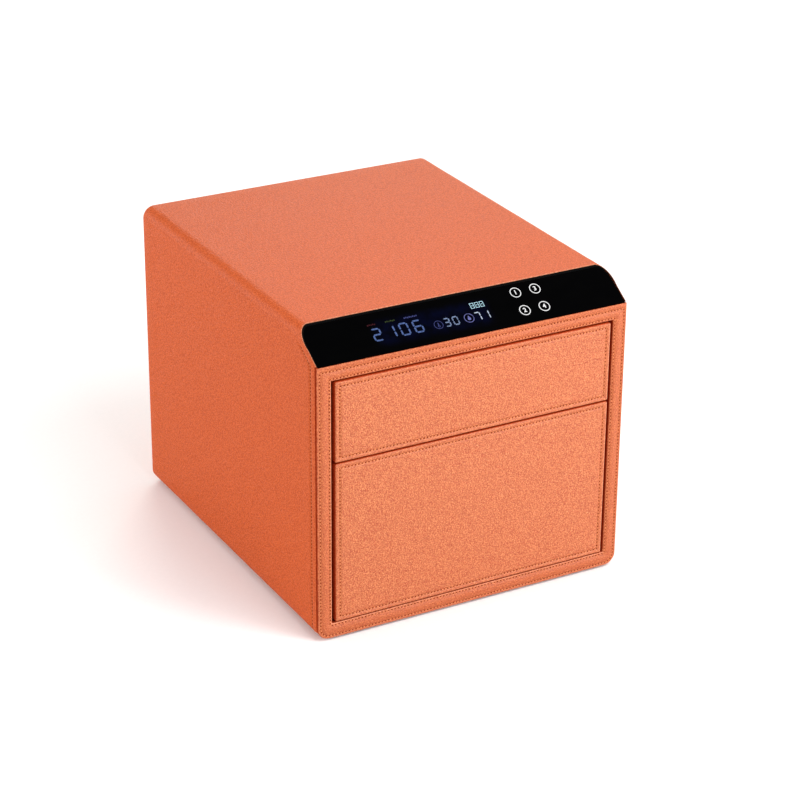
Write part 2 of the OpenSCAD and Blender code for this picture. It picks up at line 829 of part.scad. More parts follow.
module runner(slide_z) color(zinc) difference() {
  along_y(rail_y0, rail_len) slide_outline(slide_z) difference() {
    union() {
      translate([slide_t - slide_steel, -runner_h]) square([slide_steel, 2*runner_h]);
      flanges(runner_s0, slide_t, runner_h, race_flange);
    }
    ball_races();
  }
  at_runner_screws(slide_z) screw_hole(slide_steel);
}

module at_balls(slide_z) {
  for (i = [0 : ball_count - 1], k = [-1, 1])
    translate([bay_x - ball_s, cage_y0 + 2*ball_d + i*ball_pitch, slide_z + k*ball_z]) children();
}

module cage(slide_z) color(nylon) difference() {
  along_y(cage_y0, cage_len) slide_outline(slide_z) {
    translate([cage_s0, -ball_z - cage_t/2]) square([cage_t, 2*ball_z + cage_t]);
    flanges(cage_s0, cage_s1, ball_z + cage_t/2, cage_t);
  }
  at_balls(slide_z) cylinder(r = ball_r + race_gap, h = 2*ball_d, center = true);
}

module slide_balls(slide_z) color(steel) {
  at_balls(slide_z) sphere(r = ball_r);
  mirror([1, 0, 0]) at_balls(slide_z) sphere(r = ball_r);
}

module upper_rail_left() mirror([1, 0, 0]) rail(upper_slide_z);
module upper_rail_right() rail(upper_slide_z);
module lower_rail_left() mirror([1, 0, 0]) rail(lower_slide_z);
module lower_rail_right() rail(lower_slide_z);
module upper_runner_left() mirror([1, 0, 0]) runner(upper_slide_z);
module upper_runner_right() runner(upper_slide_z);
module lower_runner_left() mirror([1, 0, 0]) runner(lower_slide_z);
module lower_runner_right() runner(lower_slide_z);
module upper_cage_left() mirror([1, 0, 0]) cage(upper_slide_z);
module upper_cage_right() cage(upper_slide_z);
module lower_cage_left() mirror([1, 0, 0]) cage(lower_slide_z);
module lower_cage_right() cage(lower_slide_z);
module upper_slide_balls() slide_balls(upper_slide_z);
module lower_slide_balls() slide_balls(lower_slide_z);

// Locks

module lock_frame(z) color(steel) difference() {
  union() {
    translate([lock_x0 - lock_tab, y_wall - lock_plate, z - lock_h/2])
      cube([lock_len + 2*lock_tab, lock_plate, lock_h]);
    for (x = [lock_x0, lock_x - lock_plate])
      translate([x, y_bolt - lock_nose, z - lock_h/2]) cube([lock_plate, lock_reach + lock_nose, lock_h]);
  }
  bar_x(lock_x - lock_plate - over, lock_x + over, y_bolt, z, bolt_d + 2*run_gap);
  at_lock_screws(z) screw_hole(lock_plate);
}

module lock_coil(z) color(copper) difference() {
  union() {
    bar_x(coil_x0, coil_x1, y_bolt, z, coil_d);
    bar_x(coil_x0, coil_x0 + bobbin_t, y_bolt, z, coil_d + 2*bobbin_rim);
    bar_x(coil_x1 - bobbin_t, coil_x1, y_bolt, z, coil_d + 2*bobbin_rim);
  }
  bar_x(coil_x0 - over, coil_x1 + over, y_bolt, z, coil_bore);
}

module lock_bolt(z) color(zinc) {
  bar_x(coil_x0 + stop_gap, lock_x + bolt_rest - bolt_tip, y_bolt, z, bolt_d);
  bar_x(coil_x1 + stop_gap, coil_x1 + stop_gap + collar_t, y_bolt, z, bolt_collar_d);
  translate([lock_x + bolt_rest - bolt_tip, y_bolt, z]) rotate([0, 90, 0])
    cylinder(d1 = bolt_d, d2 = bolt_d - 2*bolt_tip, h = bolt_tip);
}

// Hook on the back of a tray, whose lip the extended bolt holds
module strike(z) color(zinc) difference() {
  union() {
    translate([strike_x1, y_box1, z - strike_h/2]) cube([strike_base_w, strike_t, strike_h]);
    translate([strike_x1, y_box1, z - strike_h/2]) cube([strike_t, hook_y + strike_t - y_box1, strike_h]);
    translate([strike_x0, hook_y, z - strike_h/2])
      cube([strike_x1 + strike_t - strike_x0, strike_t, strike_h]);
  }
  at_strike_screws(z) screw_hole(strike_t);
}

module upper_lock_frame() lock_frame(upper_lock_z);
module upper_lock_coil() lock_coil(upper_lock_z);
module upper_lock_bolt() lock_bolt(upper_lock_z);
module upper_strike() strike(upper_lock_z);
module lower_lock_frame() lock_frame(lower_lock_z);
module lower_lock_coil() lock_coil(lower_lock_z);
module lower_lock_bolt() lock_bolt(lower_lock_z);
module lower_strike() strike(lower_lock_z);

// Ejectors

module ejector_barrel(z) color(black) difference() {
  union() {
    bar_y(ejector_x, y_wall - ejector_len, y_wall, z, barrel_d);
    bar_y(ejector_x, y_wall - ejector_flange_t, y_wall, z, ejector_flange_d);
  }
  bar_y(ejector_x, y_wall - ejector_len + lip_t, y_wall - barrel_floor, z, bore_d);
  bar_y(ejector_x, y_wall - ejector_len - over, y_wall - barrel_floor, z, plunger_d + 2*run_gap);
  at_ejector_screws(z) screw_hole(ejector_flange_t);
}

module ejector_plunger(z) color(nylon) {
  rear = y_wall - barrel_floor - stop_gap;
  difference() {
    union() {
      bar_y(ejector_x, y_box1 + nose_gap, rear, z, plunger_d);
      bar_y(ejector_x, rear - plunger_collar_t, rear, z, plunger_d + 2*collar_step);
    }
    bar_y(ejector_x, spring_y0, rear + over, z, hollow_d);
  }
}

module ejector_spring(z) color(steel) {
  pitch = (spring_y1 - spring_y0 - spring_wire)/spring_turns;
  path = [for (i = [0 : spring_turns*spring_rings])
    let(turn = 360*i/spring_rings)
    [ejector_x + spring_r*cos(turn), spring_y0 + spring_wire/2 + pitch*turn/360, z + spring_r*sin(turn)]];
  last = len(path) - 1;
  apart = [for (i = [0 : last], j = [i + spring_rings/2 : 1 : last]) norm(path[i] - path[j])];
  echo(spring_least_gap = min(apart) - spring_wire);
  tube(path, spring_wire, spring_sides);
}

module upper_ejector_barrel() ejector_barrel(upper_ejector_z);
module upper_ejector_plunger() ejector_plunger(upper_ejector_z);
module upper_ejector_spring() ejector_spring(upper_ejector_z);
module lower_ejector_barrel() ejector_barrel(lower_ejector_z);
module lower_ejector_plunger() ejector_plunger(lower_ejector_z);
module lower_ejector_spring() ejector_spring(lower_ejector_z);

// Drawers

// Leather-wrapped front with soft edges all round
module drawer_front(z0, z1, box_z0, box_z1) color(leather) difference() {
  intersection() {
    translate([0, y_face + front_t/2, z0]) linear_extrude(z1 - z0) rounded_rect(front_w, front_t, front_r);
    translate([-front_w/2, y_face + front_t/2, (z0 + z1)/2]) rotate([90, 0, 90]) linear_extrude(front_w)
      rounded_rect(front_t, z1 - z0, front_r);
    translate([0, y_face + front_t, (z0 + z1)/2]) rotate([90, 0, 0]) linear_extrude(front_t)
      rounded_rect(front_w, z1 - z0, front_r);
  }
  at_front_screws(box_z0, box_z1) screw_hole(box_t + front_screw_bite);
}

module drawer_tray(z0, z1, slide_z, lock_z) color(steel) difference() {
  translate([-box_w/2, y_box0, z0]) cube([box_w, y_box1 - y_box0, z1 - z0]);
  translate([-box_w/2 + box_t, y_box0 + box_t, z0 + box_t])
    cube([box_w - 2*box_t, y_box1 - y_box0 - 2*box_t, z1 - z0]);
  at_front_screws(z0, z1) screw_hole(box_t);
  at_runner_screws(slide_z) screw_hole(slide_steel + box_t);
  mirror([1, 0, 0]) at_runner_screws(slide_z) screw_hole(slide_steel + box_t);
  at_strike_screws(lock_z) screw_hole(strike_t + box_t);
}

module drawer_lining(z0, z1) color(felt) {
  skin0 = box_t + glue_gap;
  skin1 = skin0 + lining_t;
  difference() {
    translate([-box_w/2 + skin0, y_box0 + skin0, z0 + skin0])
      cube([box_w - 2*skin0, y_box1 - y_box0 - 2*skin0, z1 - z0 - skin0 - lining_drop]);
    translate([-box_w/2 + skin1, y_box0 + skin1, z0 + skin1])
      cube([box_w - 2*skin1, y_box1 - y_box0 - 2*skin1, z1 - z0]);
  }
}

module drawer_screws(z0, z1, slide_z, lock_z) color(zinc) {
  at_front_screws(z0, z1) screw(box_t + front_screw_bite);
  at_runner_screws(slide_z) screw(slide_steel + box_t);
  mirror([1, 0, 0]) at_runner_screws(slide_z) screw(slide_steel + box_t);
  at_strike_screws(lock_z) screw(strike_t + box_t);
}

module upper_drawer_front() drawer_front(upper_z0, upper_z1, upper_box_z0, upper_box_z1);
module upper_drawer_tray() drawer_tray(upper_box_z0, upper_box_z1, upper_slide_z, upper_lock_z);
module upper_drawer_lining() drawer_lining(upper_box_z0, upper_box_z1);
module upper_drawer_screws() drawer_screws(upper_box_z0, upper_box_z1, upper_slide_z, upper_lock_z);
module lower_drawer_front() drawer_front(lower_z0, lower_z1, lower_box_z0, lower_box_z1);
module lower_drawer_tray() drawer_tray(lower_box_z0, lower_box_z1, lower_slide_z, lower_lock_z);
module lower_drawer_lining() drawer_lining(lower_box_z0, lower_box_z1);
module lower_drawer_screws() drawer_screws(lower_box_z0, lower_box_z1, lower_slide_z, lower_lock_z);

module cabinet_screws() color(zinc) {
  for (z = [lower_slide_z, upper_slide_z]) {
    at_rail_screws(z) screw(slide_steel + sheet_t + rail_screw_tail);
    mirror([1, 0, 0]) at_rail_screws(z) screw(slide_steel + sheet_t + rail_screw_tail);
  }
  for (z = [lower_lock_z, upper_lock_z]) at_lock_screws(z) screw(lock_plate + casing_t);
  for (z = [lower_ejector_z, upper_ejector_z]) at_ejector_screws(z) screw(ejector_flange_t + casing_t);
}

echo(drawer_travel = drawer_travel, rail_len = rail_len, deck_mid = deck_mid);

leather_sleeve();
front_frame();
rear_cover();
steel_casing();
bay_side_left();
bay_side_right();
bay_ceiling();
bay_shelf();
rubber_feet();
glass_panel();
panel_carrier();
touch_board();
display_module();
control_board();
battery_holder();
battery_cells();
charging_port();
key_barrel();
key_nut();
key_plug();
key_cam();
override_switch();
wiring_harness();
cabinet_screws();
upper_rail_left();
upper_rail_right();
lower_rail_left();
lower_rail_right();
upper_lock_frame();
upper_lock_coil();
upper_lock_bolt();
lower_lock_frame();
lower_lock_coil();
lower_lock_bolt();
upper_ejector_barrel();
upper_ejector_plunger();
upper_ejector_spring();
lower_ejector_barrel();
lower_ejector_plunger();
lower_ejector_spring();
upper_drawer_front();
upper_drawer_tray();
upper_drawer_lining();
upper_runner_left();
upper_runner_right();
upper_strike();
upper_drawer_screws();
upper_cage_left();
upper_cage_right();
upper_slide_balls();
lower_drawer_front();
lower_drawer_tray();
lower_drawer_lining();
lower_runner_left();
lower_runner_right();
lower_strike();
lower_drawer_screws();
lower_cage_left();
lower_cage_right();
lower_slide_balls();
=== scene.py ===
"""Looks of a leather-clad drawer safe: leather, stitching, lit glass panel, felt and metals."""
import json
import math
import random

import bmesh
import bpy
from mathutils import Matrix, Vector, noise


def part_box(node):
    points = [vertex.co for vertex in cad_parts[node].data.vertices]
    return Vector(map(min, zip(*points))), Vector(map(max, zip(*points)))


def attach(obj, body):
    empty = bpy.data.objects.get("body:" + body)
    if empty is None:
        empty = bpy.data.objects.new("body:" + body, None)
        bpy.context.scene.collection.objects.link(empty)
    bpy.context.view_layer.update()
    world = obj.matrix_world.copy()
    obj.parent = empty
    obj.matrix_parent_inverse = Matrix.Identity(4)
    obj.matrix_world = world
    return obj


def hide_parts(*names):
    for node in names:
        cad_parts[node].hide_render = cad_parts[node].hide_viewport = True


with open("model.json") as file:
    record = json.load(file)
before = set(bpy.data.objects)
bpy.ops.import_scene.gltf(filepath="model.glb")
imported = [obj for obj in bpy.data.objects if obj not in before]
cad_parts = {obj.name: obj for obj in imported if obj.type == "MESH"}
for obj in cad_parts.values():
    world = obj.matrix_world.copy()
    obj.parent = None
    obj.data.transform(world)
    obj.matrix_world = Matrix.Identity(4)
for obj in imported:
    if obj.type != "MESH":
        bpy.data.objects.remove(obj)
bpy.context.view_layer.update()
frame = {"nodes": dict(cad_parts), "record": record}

MM = 0.001
random.seed(7)

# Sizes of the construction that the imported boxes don't give
EDGE_R = 11 * MM
SKIN_T = 1.6 * MM
SHELL_IN = 1.7 * MM
FRAME_LIP = 2.0 * MM
SEAM_GAP = 1.5 * MM
BEVEL_RUN = 38 * MM
SIDE_GAP = 3.0 * MM
END_GAP = 1.3 * MM
FRONT_R = 1.5 * MM

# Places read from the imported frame
SLEEVE_LO, SLEEVE_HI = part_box("leather_sleeve")
FRAME_LO, FRAME_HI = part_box("front_frame")
UPPER_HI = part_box("upper_drawer_front")[1]
LOWER_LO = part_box("lower_drawer_front")[0]
X_OUT = SLEEVE_HI.x
Y_FRONT, Y_BAY, Y_BACK = FRAME_LO.y, FRAME_HI.y, SLEEVE_HI.y
Z_BOT, Z_SILL, Z_TOP = SLEEVE_LO.z, FRAME_HI.z, SLEEVE_HI.z
BEVEL_DROP = Z_TOP - Z_SILL
BEVEL_ANGLE = math.atan2(BEVEL_DROP, BEVEL_RUN)
OPEN_X = UPPER_HI.x + SIDE_GAP
OPEN_Z0, OPEN_Z1 = LOWER_LO.z - END_GAP, UPPER_HI.z + END_GAP

# The stitches' channel, and how far each row lies from its edge
CHANNEL_DEPTH = 0.22 * MM
CHANNEL_HALF = 0.8 * MM
HEM = 7.5 * MM
FRAME_ROW_OUT, FRAME_ROW_TOP, FRAME_ROW_IN = 2.7 * MM, 5.1 * MM, 1.75 * MM
FRONT_ROW = 4.3 * MM
REAR_ROW = 3.4 * MM


# Materials

# Places of the colour sockets on a mix node
MIX_FACTOR, MIX_A, MIX_B, MIX_COLOUR = 0, 6, 7, 2
# Most of a noise's values lie between these
NOISE_LOW, NOISE_HIGH = 0.3, 0.7


class Finish:
    """A procedural material, with short calls for the nodes that the finishes share."""

    def __init__(self, name):
        self.material = bpy.data.materials.new(name)
        self.material.use_nodes = True
        self.tree = self.material.node_tree
        self.bsdf = self.tree.nodes["Principled BSDF"]
        self.place = self.node("ShaderNodeTexCoord").outputs["Object"]

    def put(self, socket, value):
        """Links a node's output to a socket, or sets the socket to a plain value."""
        if isinstance(value, bpy.types.NodeSocket):
            self.tree.links.new(value, socket)
        else:
            socket.default_value = value

    def node(self, kind, sockets=None, **settings):
        """A new node with its settings and its sockets filled in."""
        made = self.tree.nodes.new(kind)
        for key, value in settings.items():
            setattr(made, key, value)
        for key, value in (sockets or {}).items():
            self.put(made.inputs[key], value)
        return made

    def surface(self, **sockets):
        """Sets sockets of the shader by name, with _ for a space."""
        for key, value in sockets.items():
            self.put(self.bsdf.inputs[key.replace("_", " ")], value)

    def noise(self, size, detail=2.0, stretch=(1, 1, 1)):
        """Soft noise whose largest features have about a size."""
        place = self.node("ShaderNodeMapping", {"Vector": self.place, "Scale": stretch}).outputs[0]
        sockets = {"Vector": place, "Scale": 1 / size, "Detail": detail}
        return self.node("ShaderNodeTexNoise", sockets).outputs[0]

    def cells(self, size, smooth):
        """Distance from the middle of the nearest cell, for cells of about a size."""
        sockets = {"Vector": self.place, "Scale": 1 / size, "Smoothness": smooth}
        return self.node("ShaderNodeTexVoronoi", sockets, feature="SMOOTH_F1").outputs["Distance"]

    def spread(self, value, low, high, start=0.0, end=1.0):
        """Goes smoothly from low to high while value goes from start to end."""
        sockets = {"Value": value, "From Min": start, "From Max": end, "To Min": low, "To Max": high}
        return self.node("ShaderNodeMapRange", sockets, interpolation_type="SMOOTHSTEP").outputs[0]

    def math(self, operation, a, b):
        return self.node("ShaderNodeMath", {0: a, 1: b}, operation=operation).outputs[0]

    def ramp(self, value, *stops):
        """A colour along value, between two (position, colour) stops."""
        made = self.node("ShaderNodeValToRGB", {"Fac": value})
        for element, (position, colour) in zip(made.color_ramp.elements, stops):
            element.position, element.color = position, (*colour, 1)
        return made.outputs["Color"]

    def tinted(self, colour, tint):
        """The colour times the tint."""
        sockets = {MIX_FACTOR: 1.0, MIX_A: colour, MIX_B: tint}
        made = self.node("ShaderNodeMix", sockets, data_type="RGBA", blend_type="MULTIPLY")
        return made.outputs[MIX_COLOUR]

    def window(self, value, start, end, soft):
        """1 between start and end, falling to 0 over soft beyond them."""
        rise = self.spread(value, 0.0, 1.0, start - soft, start)
        fall = self.spread(value, 1.0, 0.0, end, end + soft)
        return self.math("MULTIPLY", rise, fall)

    def relief(self, height, depth):
        """Bumps the surface by a height from 0 to 1 times a depth."""
        bump = self.node("ShaderNodeBump", {"Height": height, "Distance": depth, "Strength": 1.0})
        self.put(self.bsdf.inputs["Normal"], bump.outputs["Normal"])


def scaled(colour, factor):
    """The colour, darker or brighter by a factor."""
    return tuple(min(1.0, c * factor) for c in colour)


# Leather's grain, dye and gloss, and the painted shade in its creases
GRAIN = 1.3 * MM
GRAIN_SMOOTH = 0.4
GRAIN_FINE = 0.5 * MM
GRAIN_FINE_SHARE = 0.35
GRAIN_DEPTH = 0.3 * MM
CREASE_SHADE = (0.7, 0.58, 0.52)
SPECKLE = 0.8 * MM
DYE_SPREAD = (0.14, 0.32, 0.62)
DYE_LEAST = 0.15
GLOSS_PATCH = 2.5 * MM
LEATHER_ROUGH = (0.44, 0.6)


def mottled(colour, amount):
    """The colour moved along the dye's spread, from deep (below 0) to pale (above 0)."""
    return tuple(c * max(DYE_LEAST, 1 + amount * share) for c, share in zip(colour, DYE_SPREAD))


def leather(name, colour, shine, mottle=0.6):
    """Pebbled leather: rounded grains with painted shade in the creases between them, mottled dye and
    uneven gloss.
    """
    made = Finish(name)
    grain = made.cells(GRAIN, GRAIN_SMOOTH)
    fine = made.noise(GRAIN_FINE, 2)
    speckle = made.noise(SPECKLE, 3)
    deep, pale = mottled(colour, -mottle), mottled(colour, mottle)
    dye = made.ramp(speckle, (NOISE_LOW, deep), (NOISE_HIGH, pale))
    # Painted shade: the colour darkens in the creases between the grains
    crease_shade = made.ramp(grain, (0.2, (1, 1, 1)), (0.65, CREASE_SHADE))
    pebbles = made.math("MULTIPLY", grain, -1.0)
    height = made.math("ADD", pebbles, made.math("MULTIPLY", fine, GRAIN_FINE_SHARE))
    made.surface(
        Base_Color=made.tinted(dye, crease_shade),
        Roughness=made.spread(made.noise(GLOSS_PATCH, 2), *LEATHER_ROUGH),
        Specular_IOR_Level=shine,
    )
    made.relief(height, GRAIN_DEPTH)
    return made.material


# How far a plain finish's colour and gloss go to either side
CLOUD = 24 * MM
CLOUD_DEEP, CLOUD_PALE = 0.86, 1.08
GLOSS_MOST, GLOSS_LEAST = 0.8, 1.2


def plain_finish(name, colour, roughness, metallic=0.0, size=0.6 * MM, depth=0.02 * MM,
                 stretch=(1, 1, 1), shine=0.5):
    """Moulded, coated or plated finish: fine relief, slightly uneven colour and gloss."""
    made = Finish(name)
    fine = made.noise(size, 3, stretch)
    cloud = made.noise(CLOUD, 3)
    deep, pale = scaled(colour, CLOUD_DEEP), scaled(colour, CLOUD_PALE)
    made.surface(
        Base_Color=made.ramp(cloud, (NOISE_LOW, deep), (NOISE_HIGH, pale)),
        Roughness=made.spread(fine, roughness * GLOSS_MOST, min(1.0, roughness * GLOSS_LEAST)),
        Metallic=metallic,
        Specular_IOR_Level=shine,
    )
    made.relief(fine, depth)
    return made.material


# The glow behind the glass
GLOW_X, GLOW_SOFT_X = (-78 * MM, 14 * MM), 14 * MM
GLOW_Z, GLOW_SOFT_Z = (Z_SILL + 8 * MM, Z_SILL + 14 * MM), 6 * MM
GLOW_PATCH = 9 * MM
GLOW_STRENGTH = (0.04, 0.14)
GLOW_BLUE = (0.004, 0.010, 0.09, 1)
SMEAR = 30 * MM


def glass():
    """Black-backed glass with faint smears, and a dim blue glow behind the lit digits."""
    made = Finish("black_glass")
    smear = made.noise(SMEAR, 4, (1, 3, 3))
    split = made.node("ShaderNodeSeparateXYZ", {"Vector": made.place})
    across = made.window(split.outputs["X"], *GLOW_X, GLOW_SOFT_X)
    upward = made.window(split.outputs["Z"], *GLOW_Z, GLOW_SOFT_Z)
    patches = made.spread(made.noise(GLOW_PATCH), *GLOW_STRENGTH, NOISE_LOW, NOISE_HIGH)
    made.surface(
        Base_Color=made.ramp(smear, (0.2, (0.0002, 0.0002, 0.0003)), (0.8, (0.0005, 0.0005, 0.0006))),
        Roughness=made.spread(smear, 0.04, 0.1),
        Specular_IOR_Level=0.015,
        Emission_Color=GLOW_BLUE,
        Emission_Strength=made.math("MULTIPLY", made.math("MULTIPLY", across, upward), patches),
    )
    return made.material


# A lit mark's own dark colour, and the patches of its light
UNLIT_DEEP, UNLIT_PALE = 0.02, 0.05
UNLIT_CLOUD = 2 * MM
LIGHT_PATCH = 1.5 * MM
LIGHT_MOST = 1.1


def lit(name, colour, faint=0.5):
    """A lit mark whose light is a little uneven, from faint to its most."""
    made = Finish(name)
    cloud = made.noise(UNLIT_CLOUD)
    made.surface(
        Base_Color=made.ramp(cloud, (0.2, scaled(colour, UNLIT_DEEP)), (0.8, scaled(colour, UNLIT_PALE))),
        Roughness=0.5,
        Specular_IOR_Level=0.02,
        Emission_Color=(*colour, 1),
        Emission_Strength=made.spread(made.noise(LIGHT_PATCH, 3), faint, LIGHT_MOST, 0.3, 0.65),
    )
    return made.material


NAP = 0.7 * MM
NAP_DEPTH = 0.25 * MM
FELT_DEEP, FELT_PALE = (0.20, 0.15, 0.10), (0.34, 0.27, 0.19)


def felt():
    """Short-napped felt: matted fibres and a soft sheen."""
    made = Finish("felt")
    fibres = made.noise(NAP, 5, (1, 1.8, 1))
    made.surface(
        Base_Color=made.ramp(fibres, (NOISE_LOW, FELT_DEEP), (NOISE_HIGH, FELT_PALE)),
        Roughness=made.spread(fibres, 0.85, 1.0),
        Sheen_Weight=0.4,
    )
    made.relief(fibres, NAP_DEPTH)
    return made.material


WIRE_PITCH = 0.8 * MM
WIRE_DEPTH = 0.2 * MM
WIRE_PATCH = 2 * MM


def winding():
    """Lacquered copper wire, wound round the X axis, with painted shade between the turns."""
    made = Finish("coil_copper")
    split = made.node("ShaderNodeSeparateXYZ", {"Vector": made.place})
    phase = made.math("MULTIPLY", split.outputs["X"], 2 * math.pi / WIRE_PITCH)
    turns = made.node("ShaderNodeMath", {0: phase}, operation="SINE").outputs[0]
    made.surface(
        # The colour darkens between the turns: painted shade in the grooves, along with the relief
        Base_Color=made.ramp(turns, (0.0, (0.25, 0.09, 0.03)), (0.9, (0.72, 0.34, 0.15))),
        Roughness=made.spread(made.noise(WIRE_PATCH), 0.25, 0.4),
        Metallic=0.85,
    )
    made.relief(turns, WIRE_DEPTH)
    return made.material


LEATHER = leather("leather", (0.63, 0.118, 0.0285), 0.06)
# The front's and the frame's copies of the leather are paler and yellower than the sleeve's: painted sheen
# for the light on the front. The frame's copy is also a little darker, as painted shade.
LEATHER_FRONT_PAINTED_SHEEN = leather("leather_front_painted_sheen", (0.475, 0.130, 0.034), 0.35, mottle=2.3)
LEATHER_FRAME_PAINTED_SHEEN_AND_SHADE = leather("leather_frame_painted_sheen_and_shade", (0.455, 0.113, 0.027), 0.3, mottle=2.3)
# Pale leather for edge rounds: a painted highlight where the rounds face the light
LEATHER_EDGE_HIGHLIGHT = leather("leather_edge_highlight", (0.66, 0.26, 0.15), 0.02)
# Dark red edge paint, which also stands in as painted shade in the seam, in the opening's walls and on the
# drawers' sides
EDGE_PAINT_AND_SHADE = leather("edge_paint_and_shade", (0.43, 0.053, 0.013), 0.02)
PANEL_RIM = plain_finish("panel_rim", (0.002, 0.002, 0.002), 0.5, shine=0.01)
THREAD = plain_finish("thread", (0.62, 0.21, 0.085), 0.6, size=0.25 * MM, depth=0.06 * MM, shine=0.1)
# Dark lenses at the needle holes: painted shade inside the holes
NEEDLE_HOLE_SHADE = plain_finish("needle_hole", (0.17, 0.014, 0.003), 0.9, shine=0.01)
HEM_HOLE_SHADE = plain_finish("hem_hole", (0.18, 0.012, 0.003), 0.9, shine=0.01)
NICKEL = plain_finish("brushed_nickel", (0.30, 0.29, 0.27), 0.3, 1.0, size=1.2 * MM, stretch=(0.15, 1, 4))
SLOTS = {
    "leather": LEATHER,
    "coated_steel": plain_finish("coated_steel", (0.055, 0.055, 0.06), 0.5, size=0.35 * MM,
                                 depth=0.05 * MM),
    "zinc_steel": plain_finish("zinc_steel", (0.47, 0.48, 0.50), 0.32, 1.0, stretch=(6, 0.4, 6)),
    "ball_steel": plain_finish("ball_steel", (0.75, 0.75, 0.77), 0.12, 1.0),
    "black_glass": glass(),
    "black_plastic": plain_finish("black_plastic", (0.012, 0.012, 0.014), 0.45, depth=0.04 * MM),
    "circuit_board": plain_finish("circuit_board", (0.02, 0.12, 0.05), 0.4, size=1.2 * MM, depth=0.05 * MM),
    "cell_wrap": plain_finish("cell_wrap", (0.05, 0.14, 0.36), 0.25),
    "wire_red": plain_finish("wire_red", (0.45, 0.02, 0.015), 0.45),
    "coil_copper": winding(),
    "key_brass": plain_finish("key_brass", (0.75, 0.52, 0.2), 0.28, 1.0, stretch=(1, 0.2, 1)),
    "nylon": plain_finish("nylon", (0.68, 0.68, 0.64), 0.5),
    "felt": felt(),
    "rubber": plain_finish("rubber", (0.018, 0.018, 0.018), 0.75, size=0.4 * MM, depth=0.06 * MM),
}
DIGIT_BLUE = lit("digit_blue", (0.10, 0.16, 0.38))
DIGIT_PALE = lit("digit_pale", (0.22, 0.29, 0.46))
DIGIT_WHITE = lit("digit_white", (0.52, 0.60, 0.74), 0.7)
ICON_DIM = lit("icon_dim", (0.06, 0.07, 0.22))
ICON_BRIGHT = lit("icon_bright", (0.18, 0.19, 0.48))
BATTERY_CYAN = lit("battery_cyan", (0.56, 0.88, 1.0), 0.7)
MARK_GREEN = lit("mark_green", (0.045, 0.065, 0.02))
MARK_RED = lit("mark_red", (0.06, 0.012, 0.016))
PRINT_WHITE = lit("print_white", (0.95, 0.95, 0.95), 0.95)


# Meshes

FORWARD, BACKWARD = Vector((0, -1, 0)), Vector((0, 1, 0))
WELD = 0.001 * MM
TINY = 1e-9


def mesh_object(name, vertices, faces, material, smooth=True):
    """A new object in the scene, with its doubled points merged."""
    mesh = bpy.data.meshes.new(name)
    mesh.from_pydata([tuple(v) for v in vertices], [], faces)
    made = bpy.data.objects.new(name, mesh)
    bpy.context.scene.collection.objects.link(made)
    mesh.materials.append(material)
    tidy(mesh)
    mesh.polygons.foreach_set("use_smooth", [smooth] * len(mesh.polygons))
    return made


def tidy(mesh):
    """Merges doubled points and turns all faces outward."""
    work = bmesh.new()
    work.from_mesh(mesh)
    bmesh.ops.remove_doubles(work, verts=work.verts, dist=WELD)
    bmesh.ops.dissolve_degenerate(work, edges=work.edges, dist=WELD)
    bmesh.ops.recalc_face_normals(work, faces=work.faces)
    work.to_mesh(mesh)
    work.free()


def add_materials(piece, *materials):
    """Adds materials to a piece and gives their slot numbers."""
    first = len(piece.data.materials)
    for material in materials:
        piece.data.materials.append(material)
    return range(first, first + len(materials))


def rides(piece, body, slot, *nodes):
    """The piece moves with a body and stands for CAD nodes; the slot is not used."""
    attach(piece, body)
    if nodes:
        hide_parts(*nodes)


def even(count):
    """Fractions that split a side into count + 1 equal lengths."""
    return [(k + 1) / (count + 1) for k in range(count)]


def outline(low, high, radii, sides, steps=8):
    """Points round a rectangle with rounded corners, from the lower left, as many for any radii."""
    (x0, z0), (x1, z1) = low, high
    corners = ((x0, z0, 1, 1), (x1, z0, -1, 1), (x1, z1, -1, -1), (x0, z1, 1, -1))
    arcs = []
    for k, ((x, z, to_x, to_z), r) in enumerate(zip(corners, radii)):
        turns = [math.pi + (k + step / steps) * math.pi / 2 for step in range(steps + 1)]
        arcs.append([(x + r * (to_x + math.cos(a)), z + r * (to_z + math.sin(a))) for a in turns])
    points = []
    for k, arc in enumerate(arcs):
        (ax, az), (bx, bz) = arc[-1], arcs[(k + 1) % 4][0]
        points += arc + [(ax + (bx - ax) * f, az + (bz - az) * f) for f in sides[k]]
    return points


def shrunk(low, high, inset):
    """A rectangle's two corners, moved in by an inset."""
    step = Vector((inset, inset))
    return low + step, high - step


def upright(points, y):
    """Points of an outline, stood up at a depth."""
    return [Vector((x, y, z)) for x, z in points]


def skin(loops, closed=False):
    """Points and quads over loops of equal count."""
    count = len(loops[0])
    faces = []
    for j in range(len(loops) - (0 if closed else 1)):
        a, b = j * count, (j + 1) % len(loops) * count
        faces += [(a + i, a + (i + 1) % count, b + (i + 1) % count, b + i) for i in range(count)]
    return [p for loop in loops for p in loop], faces


def add_grid(vertices, faces, columns, rows, place):
    """Adds a grid whose points place(i, j) gives."""
    first = len(vertices)
    vertices += [place(i, j) for j in range(rows) for i in range(columns)]
    for j in range(rows - 1):
        for i in range(columns - 1):
            a = first + j * columns + i
            faces.append((a, a + 1, a + columns + 1, a + columns))


# The channel's wall, as shares of its half width and of its depth
CHANNEL_WALL = ((1, 0), (0.85, 0.5), (0.65, 1))


def channel(row):
    """Stitch channel round a distance: (distance, depth) pairs."""
    wall = [(CHANNEL_HALF * reach, CHANNEL_DEPTH * share) for reach, share in CHANNEL_WALL]
    before = [(row - reach, depth) for reach, depth in wall]
    return before + [(row + reach, depth) for reach, depth in reversed(wall)]


def quarter(radius, steps=5):
    """A round edge: (inset, depth) pairs from the side to the face."""
    turns = [math.pi / 2 * k / steps for k in range(steps + 1)]
    return [(radius * (1 - math.cos(a)), radius * (1 - math.sin(a))) for a in turns]


